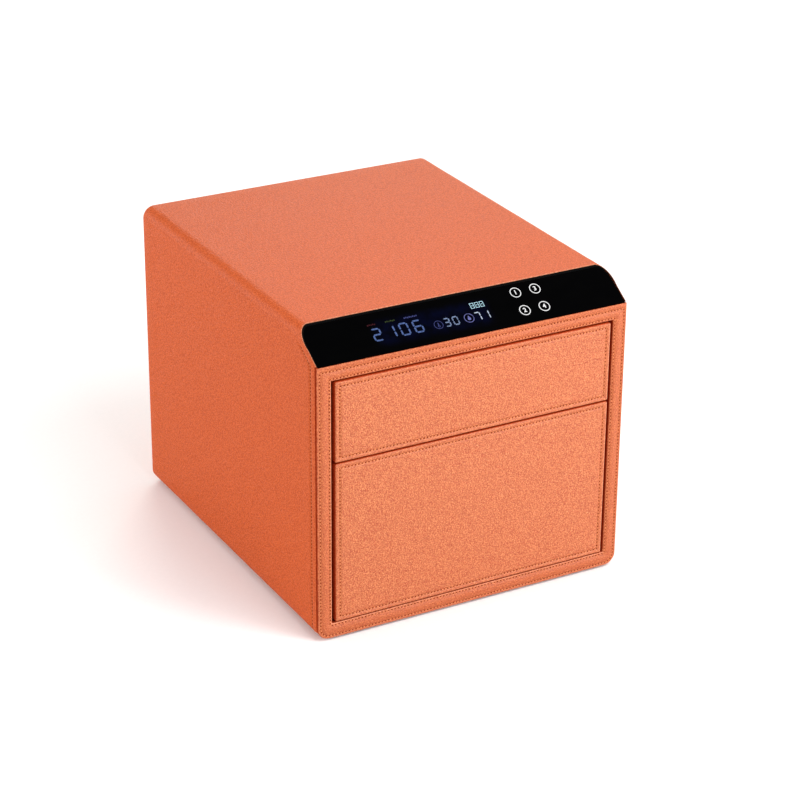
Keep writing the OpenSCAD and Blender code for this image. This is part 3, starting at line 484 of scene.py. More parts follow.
def cut(piece, *cutters):
    """Cuts the cutters out of the piece and deletes them."""
    for cutter in cutters:
        cutting = piece.modifiers.new("cut", "BOOLEAN")
        cutting.object, cutting.operation, cutting.solver = cutter, "DIFFERENCE", "EXACT"
    result = piece.evaluated_get(bpy.context.evaluated_depsgraph_get())
    piece.data = bpy.data.meshes.new_from_object(result)
    piece.modifiers.clear()
    for cutter in cutters:
        bpy.data.objects.remove(cutter)


def prism(name, points, base, tip, material):
    """A closed bar between two copies of an outline."""
    vertices, faces = skin([[base(p) for p in points], [tip(p) for p in points]])
    count = len(points)
    faces += [tuple(range(count)), tuple(range(count, 2 * count))]
    return mesh_object(name, vertices, faces, material, smooth=False)


def circle(radius, count=48):
    """Points round a circle."""
    turns = [2 * math.pi * k / count for k in range(count)]
    return [(radius * math.cos(a), radius * math.sin(a)) for a in turns]


# Stitching

def evenly(path, pitch, closed):
    """(place, heading, normal) at every half pitch along a path of (place, normal) pairs."""
    stations = path + path[:1] if closed else path
    lengths = [(b[0] - a[0]).length for a, b in zip(stations, stations[1:])]
    count = max(1, round(sum(lengths) / pitch))
    step = sum(lengths) / count
    k, start = 0, 0.0
    for n in range(2 * count):
        reach = n * step / 2
        while k < len(lengths) - 1 and start + lengths[k] < reach:
            start += lengths[k]
            k += 1
        (a, a_normal), (b, b_normal) = stations[k], stations[k + 1]
        t = (reach - start) / max(lengths[k], TINY)
        yield a.lerp(b, t), (b - a).normalized(), a_normal.lerp(b_normal, t).normalized()


STITCH_PITCH = 3.2 * MM
THREAD_LENGTH = 2.0 * MM
THREAD_LENGTH_VARIES = (0.94, 1.04)
THREAD_TILT = 0.05
THREAD_R = 0.36 * MM
THREAD_RISE, THREAD_DIP, THREAD_FLAT = 0.75, 1.3, 0.8
# The thread's rings, as shares of its half length and of its radius
THREAD_RINGS = ((-1, 0.3), (-0.8, 0.85), (-0.35, 1), (0.35, 1), (0.8, 0.85), (1, 0.3))
THREAD_SIDES = 6
HOLE_R = 0.7 * MM
HEM_HOLE_R = 1.05 * MM
HOLE_R_VARIES = (0.85, 1.1)
HOLE_NARROW = 0.85
HOLE_RIM, HOLE_BULGE = 0.05 * MM, 0.1 * MM
HOLE_SIDES = 8


def add_thread(vertices, faces, place, heading, normal):
    """One stitch: a bowed, flattened length of thread whose ends dip into the leather."""
    heading = Matrix.Rotation(random.gauss(0, THREAD_TILT), 3, normal) @ heading
    across = normal.cross(heading)
    half = THREAD_LENGTH / 2 * random.uniform(*THREAD_LENGTH_VARIES)
    first = len(vertices)
    for t, fat in THREAD_RINGS:
        centre = place + heading * half * t + normal * THREAD_R * (THREAD_RISE - THREAD_DIP * t * t)
        for x, z in circle(THREAD_R * fat, THREAD_SIDES):
            vertices.append(centre + across * x + normal * z * THREAD_FLAT)
    rings = len(THREAD_RINGS)
    for j in range(rings - 1):
        a = first + j * THREAD_SIDES
        for i in range(THREAD_SIDES):
            k = (i + 1) % THREAD_SIDES
            faces.append((a + i, a + k, a + k + THREAD_SIDES, a + i + THREAD_SIDES))
    last = first + (rings - 1) * THREAD_SIDES
    faces.append(tuple(first + k for k in range(THREAD_SIDES)))
    faces.append(tuple(last + k for k in range(THREAD_SIDES)))


def add_hole(vertices, faces, place, heading, normal, radius):
    """One needle hole: a small dark lens in the channel, painted shade for the hole's depth."""
    across = normal.cross(heading)
    first = len(vertices)
    rim = circle(radius * random.uniform(*HOLE_R_VARIES), HOLE_SIDES)
    vertices += [place + heading * x + across * z * HOLE_NARROW + normal * HOLE_RIM for x, z in rim]
    vertices += [place + normal * HOLE_BULGE, place - normal * HOLE_BULGE]
    for k in range(HOLE_SIDES):
        a, b = first + k, first + (k + 1) % HOLE_SIDES
        faces += [(a, b, first + HOLE_SIDES), (b, a, first + HOLE_SIDES + 1)]


def flat_row(points, y, normal):
    """A closed row of stitches round an upright outline."""
    return [(p, normal) for p in upright(points, y)], True


def sew(name, body, *rows, hole_r=HOLE_R, hole=NEEDLE_HOLE_SHADE):
    """Threads and needle holes along rows of (path, closed)."""
    threads, holes = ([], []), ([], [])
    for path, closed in rows:
        for n, station in enumerate(evenly(path, STITCH_PITCH, closed)):
            if n % 2:
                add_thread(*threads, *station)
            else:
                add_hole(*holes, *station, hole_r)
    rides(mesh_object(name + "_stitching", *threads, THREAD), body, "leather")
    rides(mesh_object(name + "_needle_holes", *holes, hole), body, "leather")


# Leather sleeve

# The long sides have finer steps near the top, where the edge turns along the slant
COARSE_SHARE = 0.9
ACROSS_STEPS, COARSE_STEPS, FINE_STEPS = 28, 24, 26
COARSE_RUN = [COARSE_SHARE * f for f in even(COARSE_STEPS)]
FINE_RUN = [COARSE_SHARE + (1 - COARSE_SHARE) * f for f in [0.0] + even(FINE_STEPS)]
RIGHT_RUN = COARSE_RUN + FINE_RUN
LEFT_RUN = [1 - f for f in reversed(RIGHT_RUN)]
SLEEVE_SIDES = (even(ACROSS_STEPS), RIGHT_RUN, even(ACROSS_STEPS), LEFT_RUN)
SLEEVE_STEPS = 14
SLEEVE_ROWS = 26
EDGE_ROUND = 0.5 * MM
EDGE_BLACK = 0.1 * EDGE_ROUND
SEAM_SHADE_REACH = 0.7 * MM
SILL_MARGIN = 1 * MM
HEM_ROLL = 0.45 * MM
HEM_STEPS = (1.6 * MM, 4 * MM)
HEM_END = HEM + 5 * MM
HEM_TOP = Z_TOP - EDGE_R
HEM_FADE = 4 * MM
WAVE = 0.25 * MM
WAVE_RATE = 22
ANCHOR_CUT = (-1 * MM, 6 * MM)


def sleeve_outline(inset=0.0):
    """The sleeve's outline seen from the front, moved in by an inset."""
    low = (-X_OUT + inset, Z_BOT + inset)
    high = (X_OUT - inset, Z_TOP - inset)
    return outline(low, high, [EDGE_R - inset] * 4, SLEEVE_SIDES, SLEEVE_STEPS)


def sleeve_normals():
    """Outward directions at the outline's points."""
    pairs = zip(sleeve_outline(-MM), sleeve_outline())
    return [Vector((a[0] - b[0], 0, a[1] - b[1])) / MM for a, b in pairs]


def sleeve_edge(z):
    """Depth of the sleeve's front edge at a height."""
    if z > Z_SILL:
        return Y_FRONT + (z - Z_SILL) * BEVEL_RUN / BEVEL_DROP
    return Y_FRONT + FRAME_LIP + SEAM_GAP


def set_back(points, distance):
    """Depths of the line that lies a distance behind the sleeve's front edge."""
    edge = [sleeve_edge(z) for _, z in points]
    walk = [0.0]
    for a, b in zip(points, points[1:]):
        walk.append(walk[-1] + math.dist(a, b))
    depths = []
    for s in walk:
        near = [(y, s - t) for y, t in zip(edge, walk) if abs(s - t) <= distance]
        depths.append(max(y + math.sqrt(distance ** 2 - gap ** 2) for y, gap in near))
    return depths


def seam_share(z):
    """1 where the front hem is rolled and sewn, fading to 0 below the round of the top."""
    return max(0.0, min(1.0, (HEM_TOP - z) / HEM_FADE))


def hem_roll(distance):
    """How far the hem is rolled in, at a distance behind its edge."""
    return HEM_ROLL * max(0.0, 1 - distance / HEM) ** 2


def sleeve():
    """The wrapped skin: a rolled and sewn hem in front, a plain edge behind."""
    points, normals = sleeve_outline(), sleeve_normals()
    edge = [(0, SKIN_T)] + [(d, depth) for depth, d in reversed(quarter(EDGE_ROUND))]
    hem = [(d, 0) for d in HEM_STEPS] + channel(HEM) + [(HEM_END, 0)]
    loops = []
    for k, (d, depth) in enumerate(edge + hem):
        firm, soft = (depth, 0) if k < len(edge) else (0, depth)
        loop = []
        for (x, z), y, normal in zip(points, set_back(points, d), normals):
            sewn = (soft + hem_roll(d) if k else 0) * seam_share(z)
            place = Vector((x, y, z)) - normal * (firm + sewn)
            place.y += sleeve_edge(place.z) - sleeve_edge(z)
            loop.append(place)
        loops.append(loop)
    front, back = loops[-1], Y_BACK - HEM_END
    for k in range(1, SLEEVE_ROWS):
        loop = []
        for start, normal in zip(front, normals):
            place = start.lerp(Vector((start.x, back, start.z)), k / SLEEVE_ROWS)
            loop.append(place - normal * WAVE * (0.5 + 0.5 * noise.noise(place * WAVE_RATE)))
        loops.append(loop)
    for d, depth in reversed(edge + [(HEM_END, 0)]):
        loops.append([Vector((x, Y_BACK - d, z)) - n * depth for (x, z), n in zip(points, normals)])
    piece = mesh_object("leather_sleeve_skin", *skin(loops, closed=True), LEATHER)
    paint_edge(piece)
    mount = next(m for m in frame["record"]["mounts"] if m["name"] == "base_anchors")
    cut(piece, *anchor_cutters(mount["dims"]))
    rides(piece, "cabinet", "leather", "leather_sleeve")
    sew("sleeve", "cabinet", (hem_path(points, normals), False), hole_r=HEM_HOLE_R, hole=HEM_HOLE_SHADE)


def hem_path(points, normals):
    """The front hem's row, from the top of the left side under the safe to the top of the right side."""
    depths = set_back(points, HEM)
    row = [(Vector((x, y, z)) - n * CHANNEL_DEPTH, n) for (x, z), y, n in zip(points, depths, normals)]
    start = max(k for k, (_, z) in enumerate(points) if seam_share(z) < 1) + 1
    return [(place, n) for place, n in row[start:] + row[:start] if seam_share(place.z) == 1]


def paint_edge(piece):
    """Finishes the cut front edge: black at the glass with a pale round that is a painted highlight, and
    dark edge paint in the seam below that is also painted shade.
    """
    pale, painted, black = add_materials(piece, LEATHER_EDGE_HIGHLIGHT, EDGE_PAINT_AND_SHADE, PANEL_RIM)
    for face in piece.data.polygons:
        behind = face.center.y - sleeve_edge(face.center.z)
        if face.center.z > Z_SILL + SILL_MARGIN:
            # The pale round at the glass is a painted highlight
            if behind < EDGE_ROUND:
                face.material_index = black if behind < EDGE_BLACK else pale
        # Below the sill: edge paint that is also painted shade in the seam
        elif behind < SEAM_SHADE_REACH:
            face.material_index = painted


def anchor_cutters(dims):
    """Bars through the bottom leather at the four anchor holes."""
    below, above = (Vector((0, 0, z)) for z in ANCHOR_CUT)
    points = circle(dims["hole_r_mm"] * MM)
    for x in (-0.5, 0.5):
        for y in (-0.5, 0.5):
            middle = Vector((x * dims["spacing_x_mm"] * MM, y * dims["spacing_y_mm"] * MM, 0))
            low, high = middle + below, middle + above
            yield prism("anchor_cutter", points, lambda p: low + Vector((*p, 0)),
                        lambda p: high + Vector((*p, 0)), LEATHER)


sleeve()


# Front frame

FRAME_SIDES = (even(26), even(22)) * 2
FRAME_SLIM = 0.1 * MM
RIM_R = 1.0 * MM
RIM_TOP_SHARE = 0.7
RIM_SHADE_START = 0.5 * RIM_R
REVEAL_R = 0.9 * MM
REVEAL_HIGHLIGHT_REACH = 0.8 * REVEAL_R
ROUND_CORNER_LEAST = 1 * MM
SHARP_CORNER = 0.6 * MM
UPPER_CORNER_GROWS, OPENING_CORNER_GROWS = 0.4, 0.8


def frame_outline(side, top):
    """The frame's outer outline, moved in by side, and by top under the glass."""
    low = (-X_OUT + side, Z_BOT + side)
    high = (X_OUT - side, Z_SILL - top)
    lower = max(EDGE_R - side, ROUND_CORNER_LEAST)
    upper = SHARP_CORNER + UPPER_CORNER_GROWS * side
    return outline(low, high, (lower, lower, upper, upper), FRAME_SIDES)


def opening_outline(grow):
    """The opening's outline, moved out by grow."""
    low = (-OPEN_X - grow, OPEN_Z0 - grow)
    high = (OPEN_X + grow, OPEN_Z1 + grow)
    return outline(low, high, [SHARP_CORNER + OPENING_CORNER_GROWS * grow] * 4, FRAME_SIDES)


def front_frame():
    """The frame's skin from its back over the rim and the two rows into the opening."""
    loops = [upright(frame_outline(SHELL_IN, FRAME_SLIM), Y_BAY)]
    loops.append(upright(frame_outline(SHELL_IN, FRAME_SLIM), Y_FRONT + FRAME_LIP))
    for inset, depth in reversed(quarter(RIM_R)):
        loops.append(upright(frame_outline(inset, FRAME_SLIM), Y_FRONT + FRAME_LIP - depth))
    for inset, depth in quarter(RIM_R)[1:]:
        loops.append(upright(frame_outline(inset, FRAME_SLIM + inset * RIM_TOP_SHARE), Y_FRONT + depth))
    for row, depth in channel(FRAME_ROW_OUT):
        top = row - FRAME_ROW_OUT + FRAME_ROW_TOP
        loops.append(upright(frame_outline(row, top), Y_FRONT + depth))
    for row, depth in reversed(channel(FRAME_ROW_IN)):
        loops.append(upright(opening_outline(row), Y_FRONT + depth))
    for inset, depth in reversed(quarter(REVEAL_R)):
        loops.append(upright(opening_outline(inset), Y_FRONT + depth))
    loops.append(upright(opening_outline(0), Y_BAY))
    piece = mesh_object("front_frame_skin", *skin(loops, closed=True), LEATHER_FRAME_PAINTED_SHEEN_AND_SHADE)
    paint_frame(piece)
    rides(piece, "cabinet", "leather", "front_frame")
    y = Y_FRONT + CHANNEL_DEPTH
    outer = flat_row(frame_outline(FRAME_ROW_OUT, FRAME_ROW_TOP), y, FORWARD)
    inner = flat_row(opening_outline(FRAME_ROW_IN), y, FORWARD)
    sew("frame", "cabinet", outer, inner)


def paint_frame(piece):
    """Paints the cut edges dark, as edge paint that is also painted shade in the seam and the opening, and
    the opening's left and bottom rounds pale, a painted highlight where they face the light.
    """
    pale, painted = add_materials(piece, LEATHER_EDGE_HIGHLIGHT, EDGE_PAINT_AND_SHADE)
    for face in piece.data.polygons:
        x, y, z = face.center
        within = abs(x) < OPEN_X + REVEAL_R and OPEN_Z0 - REVEAL_R < z < OPEN_Z1 + REVEAL_R
        left_or_bottom = x < -OPEN_X or z < OPEN_Z0
        # The opening's left and bottom rounds, which face the light, get a painted highlight
        if within and left_or_bottom and y < Y_FRONT + REVEAL_HIGHLIGHT_REACH:
            face.material_index = pale
        # Past the rounds: edge paint that is also painted shade in the opening and the seam
        elif y > Y_FRONT + (REVEAL_R if within else RIM_SHADE_START):
            face.material_index = painted


front_frame()


# Drawer fronts

CROWN = 0.35 * MM
CROWN_FLAT = 1.6
CORNER_R = 1.6 * MM
ROW_CORNER = 1.0 * MM
FACE_START = 2 * MM
BACK_R = 0.8 * MM
FRONT_R_STEPS = 7
FRONT_SHADE_START, FRONT_HIGHLIGHT_REACH = 0.3 * FRONT_R, 0.8 * FRONT_R
FRONT_STEPS = 32
TALL_FRONT = 100 * MM
TALL_STEPS, LOW_STEPS = 16, 9


def panel(name, low, high, y, profile, sides, crown, corner, material):
    """A leather-wrapped board: loops at (inset, depth) pairs, then a crowned face."""
    wide, tall = len(sides[0]) + 2, len(sides[1]) + 2
    loops = []
    for inset, depth in profile:
        radius = max(corner - inset, ROW_CORNER)
        points = outline(*shrunk(low, high, inset), [radius] * 4, sides)
        loops.append(upright(points, y(depth)))
    (x0, z0), (x1, z1) = shrunk(low, high, profile[-1][0] + FACE_START)
    loops.append(upright(outline((x0, z0), (x1, z1), [0] * 4, sides), y(0)))
    vertices, faces = skin(loops)
    faces.append(tuple(range(len(loops[0]))))

    def crowned(i, j):
        """A point of the face, which swells towards its middle."""
        u, v = i / (wide - 1), j / (tall - 1)
        swell = crown * min(1, 16 * u * (1 - u) * v * (1 - v) * CROWN_FLAT)
        return Vector((x0 + (x1 - x0) * u, y(-swell), z0 + (z1 - z0) * v))

    add_grid(vertices, faces, wide, tall, crowned)
    return mesh_object(name, vertices, faces, material)


def drawer_front(node, body):
    """A drawer's front: a crowned face, a row of stitches, dark sides that are edge paint and painted shade
    in the gap, and a pale right round that is a painted highlight.
    """
    lo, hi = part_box(node)
    low, high = Vector((lo.x, lo.z)), Vector((hi.x, hi.z))
    thick = hi.y - lo.y
    rows = TALL_STEPS if high.y - low.y > TALL_FRONT else LOW_STEPS
    sides = (even(FRONT_STEPS), even(rows)) * 2
    back = [(inset, thick - CROWN - depth) for inset, depth in reversed(quarter(BACK_R))]
    profile = back + quarter(FRONT_R, FRONT_R_STEPS) + channel(FRONT_ROW)
    front = lo.y + CROWN
    piece = panel(node + "_skin", low, high, lambda depth: front + depth, profile, sides, CROWN,
                  CORNER_R, LEATHER_FRONT_PAINTED_SHEEN)
    painted, pale = add_materials(piece, EDGE_PAINT_AND_SHADE, LEATHER_EDGE_HIGHLIGHT)
    for face in piece.data.polygons:
        # The sides: edge paint that is also painted shade in the gap round the drawer
        if face.center.y > front + FRONT_SHADE_START:
            face.material_index = painted
        # The right round gets a painted highlight
        elif face.center.x > high.x - FRONT_HIGHLIGHT_REACH:
            face.material_index = pale
    rides(piece, body, "leather", node)
    row = outline(*shrunk(low, high, FRONT_ROW), [ROW_CORNER] * 4, sides)
    sew(node, body, flat_row(row, front + CHANNEL_DEPTH, FORWARD))


drawer_front("upper_drawer_front", "upper_drawer")
drawer_front("lower_drawer_front", "lower_drawer")


# Rear cover

REAR_SIDES = (even(30), even(28)) * 2
REAR_EDGE_R = 0.6 * MM
REAR_FLAT = 2.5 * MM
REAR_CORNER = EDGE_R - SHELL_IN
PORT_R = 1.7 * MM
PORT_GAP = 0.1 * MM
CUT_REACH = 6 * MM
CUT_STEPS = 12
# A little short of a full round, so that no side of a cutter has zero length
ROUND_SHARE = 0.99


def rear_cover():
    """The back's flat leather, with holes for the key lock and the charging port."""
    lo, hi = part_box("rear_cover")
    low, high = Vector((lo.x, lo.z)), Vector((hi.x, hi.z))
    profile = [(0, hi.y - lo.y)] + quarter(REAR_EDGE_R) + [(REAR_FLAT, 0)] + channel(REAR_ROW)
    piece = panel("rear_cover_skin", low, high, lambda depth: hi.y - max(depth, 0), profile, REAR_SIDES,
                  0, REAR_CORNER, LEATHER)
    rim_lo, rim_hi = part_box("key_barrel")
    port_lo, port_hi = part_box("charging_port")
    rim_cutter = back_cutter(rim_lo, rim_hi, (rim_hi.x - rim_lo.x) / 2)
    cut(piece, rim_cutter, back_cutter(port_lo, port_hi, PORT_R))
    rides(piece, "cabinet", "leather", "rear_cover")
    row = outline(*shrunk(low, high, REAR_ROW), [REAR_CORNER - REAR_ROW] * 4, REAR_SIDES)
    sew("rear_cover", "cabinet", flat_row(row, hi.y - CHANNEL_DEPTH, BACKWARD))


def back_cutter(lo, hi, radius):
    """A rounded bar through the rear cover, a little larger than the piece that fills it."""
    low, high = (lo.x - PORT_GAP, lo.z - PORT_GAP), (hi.x + PORT_GAP, hi.z + PORT_GAP)
    points = outline(low, high, [radius + PORT_GAP * ROUND_SHARE] * 4, ([],) * 4, CUT_STEPS)
    return prism("back_cutter", points, lambda p: Vector((p[0], Y_BACK - CUT_REACH, p[1])),
                 lambda p: Vector((p[0], Y_BACK + CUT_REACH, p[1])), LEATHER)


rear_cover()


# Lit panel

PRINT_T = 0.06 * MM
PRINT_LIFT = 0.01 * MM
SEGMENTS = {"0": "abcdef", "1": "bc", "2": "abged", "3": "abgcd", "6": "afgecd", "7": "abc"}
SEGMENT_GAP = 0.18
LAMP_PITCH, LAMP_WIDE, LAMP_TALL = 1.6 * MM, 1.1 * MM, 1.3 * MM
LAMP_ROW, LAMP_STAGGER = 29.6 * MM, 0.3 * MM
KEY_NUMBERS = "1324"
KEY_COLUMNS, KEY_ROWS = (53.9 * MM, 73.2 * MM), (32.8 * MM, 13.7 * MM)
KEY_RING_R, KEY_RING_LINE, KEY_RING_STEPS = 5.15 * MM, 0.72 * MM, 64
NUMBER_SIZE, NUMBER_BOLD = 6.0 * MM, 0.13 * MM


def on_slant(u, v, out):
    """A point on the slanted glass: u right of the middle, v up the slant, out of its face."""
    c, s = math.cos(BEVEL_ANGLE), math.sin(BEVEL_ANGLE)
    return Vector((u, Y_FRONT + v * c - out * s, Z_SILL + v * s + out * c))


def add_print(vertices, faces, outline_points):
    """Adds a thin flat mark with an outline of (u, v) points."""
    first, count = len(vertices), len(outline_points)
    levels = (PRINT_LIFT, PRINT_T)
    points, quads = skin([[on_slant(u, v, out) for u, v in outline_points] for out in levels])
    vertices += points
    faces += [tuple(first + k for k in quad) for quad in quads]
    faces += [tuple(range(first, first + count)), tuple(range(first + count, first + 2 * count))]


def add_band(vertices, faces, outer, inner):
    """Adds a thin flat mark between two outlines of equal count."""
    first = len(vertices)
    ends = ((outer, PRINT_LIFT), (outer, PRINT_T), (inner, PRINT_T), (inner, PRINT_LIFT))
    points, quads = skin([[on_slant(u, v, out) for u, v in line] for line, out in ends], closed=True)
    vertices += points
    faces += [tuple(first + k for k in quad) for quad in quads]


def add_ring(vertices, faces, u, v, radius, width, count=48):
    """Adds a thin flat ring."""
    outer, inner = ([(u + x, v + y) for x, y in circle(r, count)] for r in (radius, radius - width))
    add_band(vertices, faces, outer, inner)


def bar(a, b, width):
    """Outline of a segment with pointed ends."""
    a, b = Vector(a), Vector(b)
    along = (b - a).normalized() * width / 2
    side = Vector((-along.y, along.x))
    return [a, a + along + side, b - along + side, b, b - along - side, a + along - side]


def add_digit(vertices, faces, digit, u, v, wide, tall, stroke):
    """Adds a seven-segment digit by the middle of its lower edge."""
    x, low, mid, top = wide / 2 - stroke / 2, stroke / 2, tall / 2, tall - stroke / 2
    ends = {
        "a": ((-x, top), (x, top)), "b": ((x, mid), (x, top)), "c": ((x, low), (x, mid)),
        "d": ((-x, low), (x, low)), "e": ((-x, low), (-x, mid)), "f": ((-x, mid), (-x, top)),
        "g": ((-x, mid), (x, mid)),
    }
    for name in SEGMENTS[digit]:
        a, b = (Vector(p) for p in ends[name])
        trim = (b - a).normalized() * stroke * SEGMENT_GAP
        points = bar(a + trim, b - trim, stroke)
        add_print(vertices, faces, [(u + p.x, v + p.y) for p in points])


def box_at(u, v, wide, tall):
    """Outline of a box by its lower left corner."""
    return [(u, v), (u + wide, v), (u + wide, v + tall), (u, v + tall)]


def add_frame(vertices, faces, u, v, wide, tall, line):
    """Adds a thin flat frame round a box."""
    hole = box_at(u + line, v + line, wide - 2 * line, tall - 2 * line)
    add_band(vertices, faces, box_at(u, v, wide, tall), hole)


def shown(name, marks, material):
    """Puts marks on the glass."""
    rides(mesh_object(name, *marks, material, smooth=False), "cabinet", "black_glass")


def reading(name, digits, first, pitch, foot, wide, tall, stroke, material):
    """A row of lit digits, placed by the middle of the first digit's foot."""
    marks = ([], [])
    for k, digit in enumerate(digits):
        add_digit(*marks, digit, first + pitch * k, foot, wide, tall, stroke)
    shown(name, marks, material)


def display():
    """The time, the temperature and the humidity."""
    reading("display_time", "2106", first=-85 * MM, pitch=12.8 * MM, foot=13.4 * MM,
            wide=8.6 * MM, tall=13 * MM, stroke=1.5 * MM, material=DIGIT_BLUE)
    reading("display_temperature", "30", first=-19.8 * MM, pitch=8.2 * MM, foot=13.3 * MM,
            wide=5.7 * MM, tall=8.9 * MM, stroke=1.15 * MM, material=DIGIT_PALE)
    reading("display_humidity", "71", first=9.8 * MM, pitch=8.3 * MM, foot=12.9 * MM,
            wide=5.6 * MM, tall=8.8 * MM, stroke=0.95 * MM, material=DIGIT_WHITE)


def heat_icon(u, v, radius, line):
    """A ringed thermometer: a stem over a hollow bulb."""
    marks = ([], [])
    stem_wide, stem_tall, stem_foot = 1.0 * MM, 3.0 * MM, 0.8 * MM
    bulb_r, bulb_line, bulb_drop, bulb_steps = 1.1 * MM, 0.45 * MM, 1.5 * MM, 24
    add_ring(*marks, u, v, radius, line)
    add_print(*marks, box_at(u - stem_wide / 2, v - stem_foot, stem_wide, stem_tall))
    add_ring(*marks, u, v - bulb_drop, bulb_r, bulb_line, bulb_steps)
    shown("heat_icon", marks, ICON_DIM)


def drop_icon(u, v, radius, line):
    """A ringed drop: a round belly drawn up to a tip."""
    marks = ([], [])
    belly_r, belly_drop, tip_rise = 1.5 * MM, 0.7 * MM, 2.4 * MM
    start, sweep, steps = math.radians(150), math.radians(240), 16
    turns = [start + sweep * k / steps for k in range(steps + 1)]
    belly = [(u + belly_r * math.cos(a), v - belly_drop + belly_r * math.sin(a)) for a in turns]
    add_ring(*marks, u, v, radius, line)
    add_print(*marks, belly + [(u, v + tip_rise)])
    shown("drop_icon", marks, ICON_BRIGHT)


def battery_icon(u, v, cells, pitch):
    """Framed cells with a short bar in the middle of each."""
    marks = ([], [])
    wide, tall, line = 3.6 * MM, 5.6 * MM, 0.5 * MM
    bar_wide, bar_tall = 1.2 * MM, 0.6 * MM
    right, up = (wide - bar_wide) / 2, (tall - bar_tall) / 2
    for k in range(cells):
        left = u + pitch * k
        add_frame(*marks, left, v, wide, tall, line)
        add_print(*marks, box_at(left + right, v + up, bar_wide, bar_tall))
    shown("battery_icon", marks, BATTERY_CYAN)


def lamps(name, start, count, material):
    """A group of small lamps in the row over the time."""
    marks = ([], [])
    for k in range(count):
        foot = LAMP_ROW + LAMP_STAGGER * (k % 2)
        add_print(*marks, box_at(start + LAMP_PITCH * k, foot, LAMP_WIDE, LAMP_TALL))
    shown(name, marks, material)


def touch_keys():
    """Four ringed numbers, which count down each column."""
    rings = ([], [])
    places = [(u, v) for v in KEY_ROWS for u in KEY_COLUMNS]
    for digit, (u, v) in zip(KEY_NUMBERS, places):
        add_ring(*rings, u, v, KEY_RING_R, KEY_RING_LINE, KEY_RING_STEPS)
        number(digit, u, v)
    shown("touch_rings", rings, PRINT_WHITE)


def number(digit, u, v):
    """A printed digit in the middle of a ring."""
    curve = bpy.data.curves.new("touch_number_" + digit, "FONT")
    curve.body, curve.size, curve.extrude = digit, NUMBER_SIZE, PRINT_T / 2
    curve.align_x, curve.align_y, curve.offset = "CENTER", "CENTER", NUMBER_BOLD
    lettering = bpy.data.objects.new("lettering", curve)
    bpy.context.scene.collection.objects.link(lettering)
    drawn = lettering.evaluated_get(bpy.context.evaluated_depsgraph_get())
    shape = bpy.data.meshes.new_from_object(drawn)
    middle = PRINT_LIFT + PRINT_T / 2
    points = [on_slant(u + p.co.x, v + p.co.y, middle + p.co.z) for p in shape.vertices]
    faces = [tuple(face.vertices) for face in shape.polygons]
    bpy.data.objects.remove(lettering)
    shown("touch_number_" + digit, (points, faces), PRINT_WHITE)


display()
heat_icon(u=-28.4 * MM, v=17.1 * MM, radius=4.2 * MM, line=0.5 * MM)
drop_icon(u=1.1 * MM, v=17.5 * MM, radius=4.6 * MM, line=0.55 * MM)
battery_icon(u=7.4 * MM, v=25.8 * MM, cells=3, pitch=4.7 * MM)
lamps("marks_red", start=-90 * MM, count=5, material=MARK_RED)
lamps("marks_green", start=-73.2 * MM, count=6, material=MARK_GREEN)
lamps("marks_violet", start=-55.5 * MM, count=8, material=ICON_DIM)
touch_keys()


# Felt linings

FELT_T = 1.5 * MM
FELT_SIDES = (even(24), even(26)) * 2
FELT_OUTER_R = 1.2 * MM
FELT_EDGE = 0.6 * MM
# The rolled lip, as steps of inset, drop and corner radius
FELT_LIP = ((0.35 * MM, 0.1 * MM, 2 * MM), (0.9 * MM, 0, 3 * MM))
FELT_CORNER = 7 * MM
FELT_CORNER_LEAST = 1.5 * MM
FELT_COVE = 5 * MM
FELT_BED_START = 3 * MM
FELT_SAG = 0.3 * MM
FELT_SAG_FLAT = 40
FELT_SAG_RATE = 40


def lining(node, body):
    """A felt tub with rounded corners and a coved, slightly uneven floor."""
    lo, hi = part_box(node)
    low, high = Vector((lo.x, lo.y)), Vector((hi.x, hi.y))
    bed = lo.z + FELT_T

    def ring(inset, z, corner):
        points = outline(*shrunk(low, high, inset), [corner] * 4, FELT_SIDES)
        return [Vector((x, y, z)) for x, y in points]

    loops = [ring(FELT_EDGE, lo.z, FELT_OUTER_R), ring(0, lo.z + FELT_EDGE, FELT_OUTER_R)]
    loops.append(ring(0, hi.z - FELT_EDGE, FELT_OUTER_R))
    loops += [ring(inset, hi.z - drop, corner) for inset, drop, corner in FELT_LIP]
    loops.append(ring(FELT_T, hi.z - FELT_EDGE, FELT_CORNER))
    for inset, depth in quarter(FELT_COVE):
        corner = max(FELT_CORNER - inset, FELT_CORNER_LEAST)
        loops.append(ring(FELT_T + inset, bed + depth, corner))
    inset = FELT_T + FELT_COVE + FELT_BED_START
    (x0, y0), (x1, y1) = shrunk(low, high, inset)
    loops.append(ring(inset, bed, 0))
    vertices, faces = skin(loops)
    faces.append(tuple(range(len(loops[0]))))
    wide, deep = len(FELT_SIDES[0]) + 2, len(FELT_SIDES[1]) + 2

    def bed_point(i, j):
        """A point of the floor, a little up or down."""
        u, v = i / (wide - 1), j / (deep - 1)
        sag = FELT_SAG * min(1, FELT_SAG_FLAT * u * (1 - u) * v * (1 - v))
        place = Vector((x0 + (x1 - x0) * u, y0 + (y1 - y0) * v, bed))
        return place + Vector((0, 0, sag * noise.noise(place * FELT_SAG_RATE)))

    add_grid(vertices, faces, wide, deep, bed_point)
    piece = mesh_object(node + "_felt", vertices, faces, SLOTS["felt"])
    rides(piece, body, "felt", node)


lining("upper_drawer_lining", "upper_drawer")
lining("lower_drawer_lining", "lower_drawer")


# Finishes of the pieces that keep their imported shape

ROUND_NODES = ("spring", "wiring", "glass")
OWN_FINISH = {"key_barrel": NICKEL}
FLAT_ANGLE, SHARP_ANGLE = math.radians(0.5), math.radians(50)
EDGE_SOFT = 0.12 * MM
RIM_SOFT = {"key_barrel": 0.5 * MM, "key_plug": 0.4 * MM}
EDGE_STEPS = 3
FLAT_WEIGHT = 100


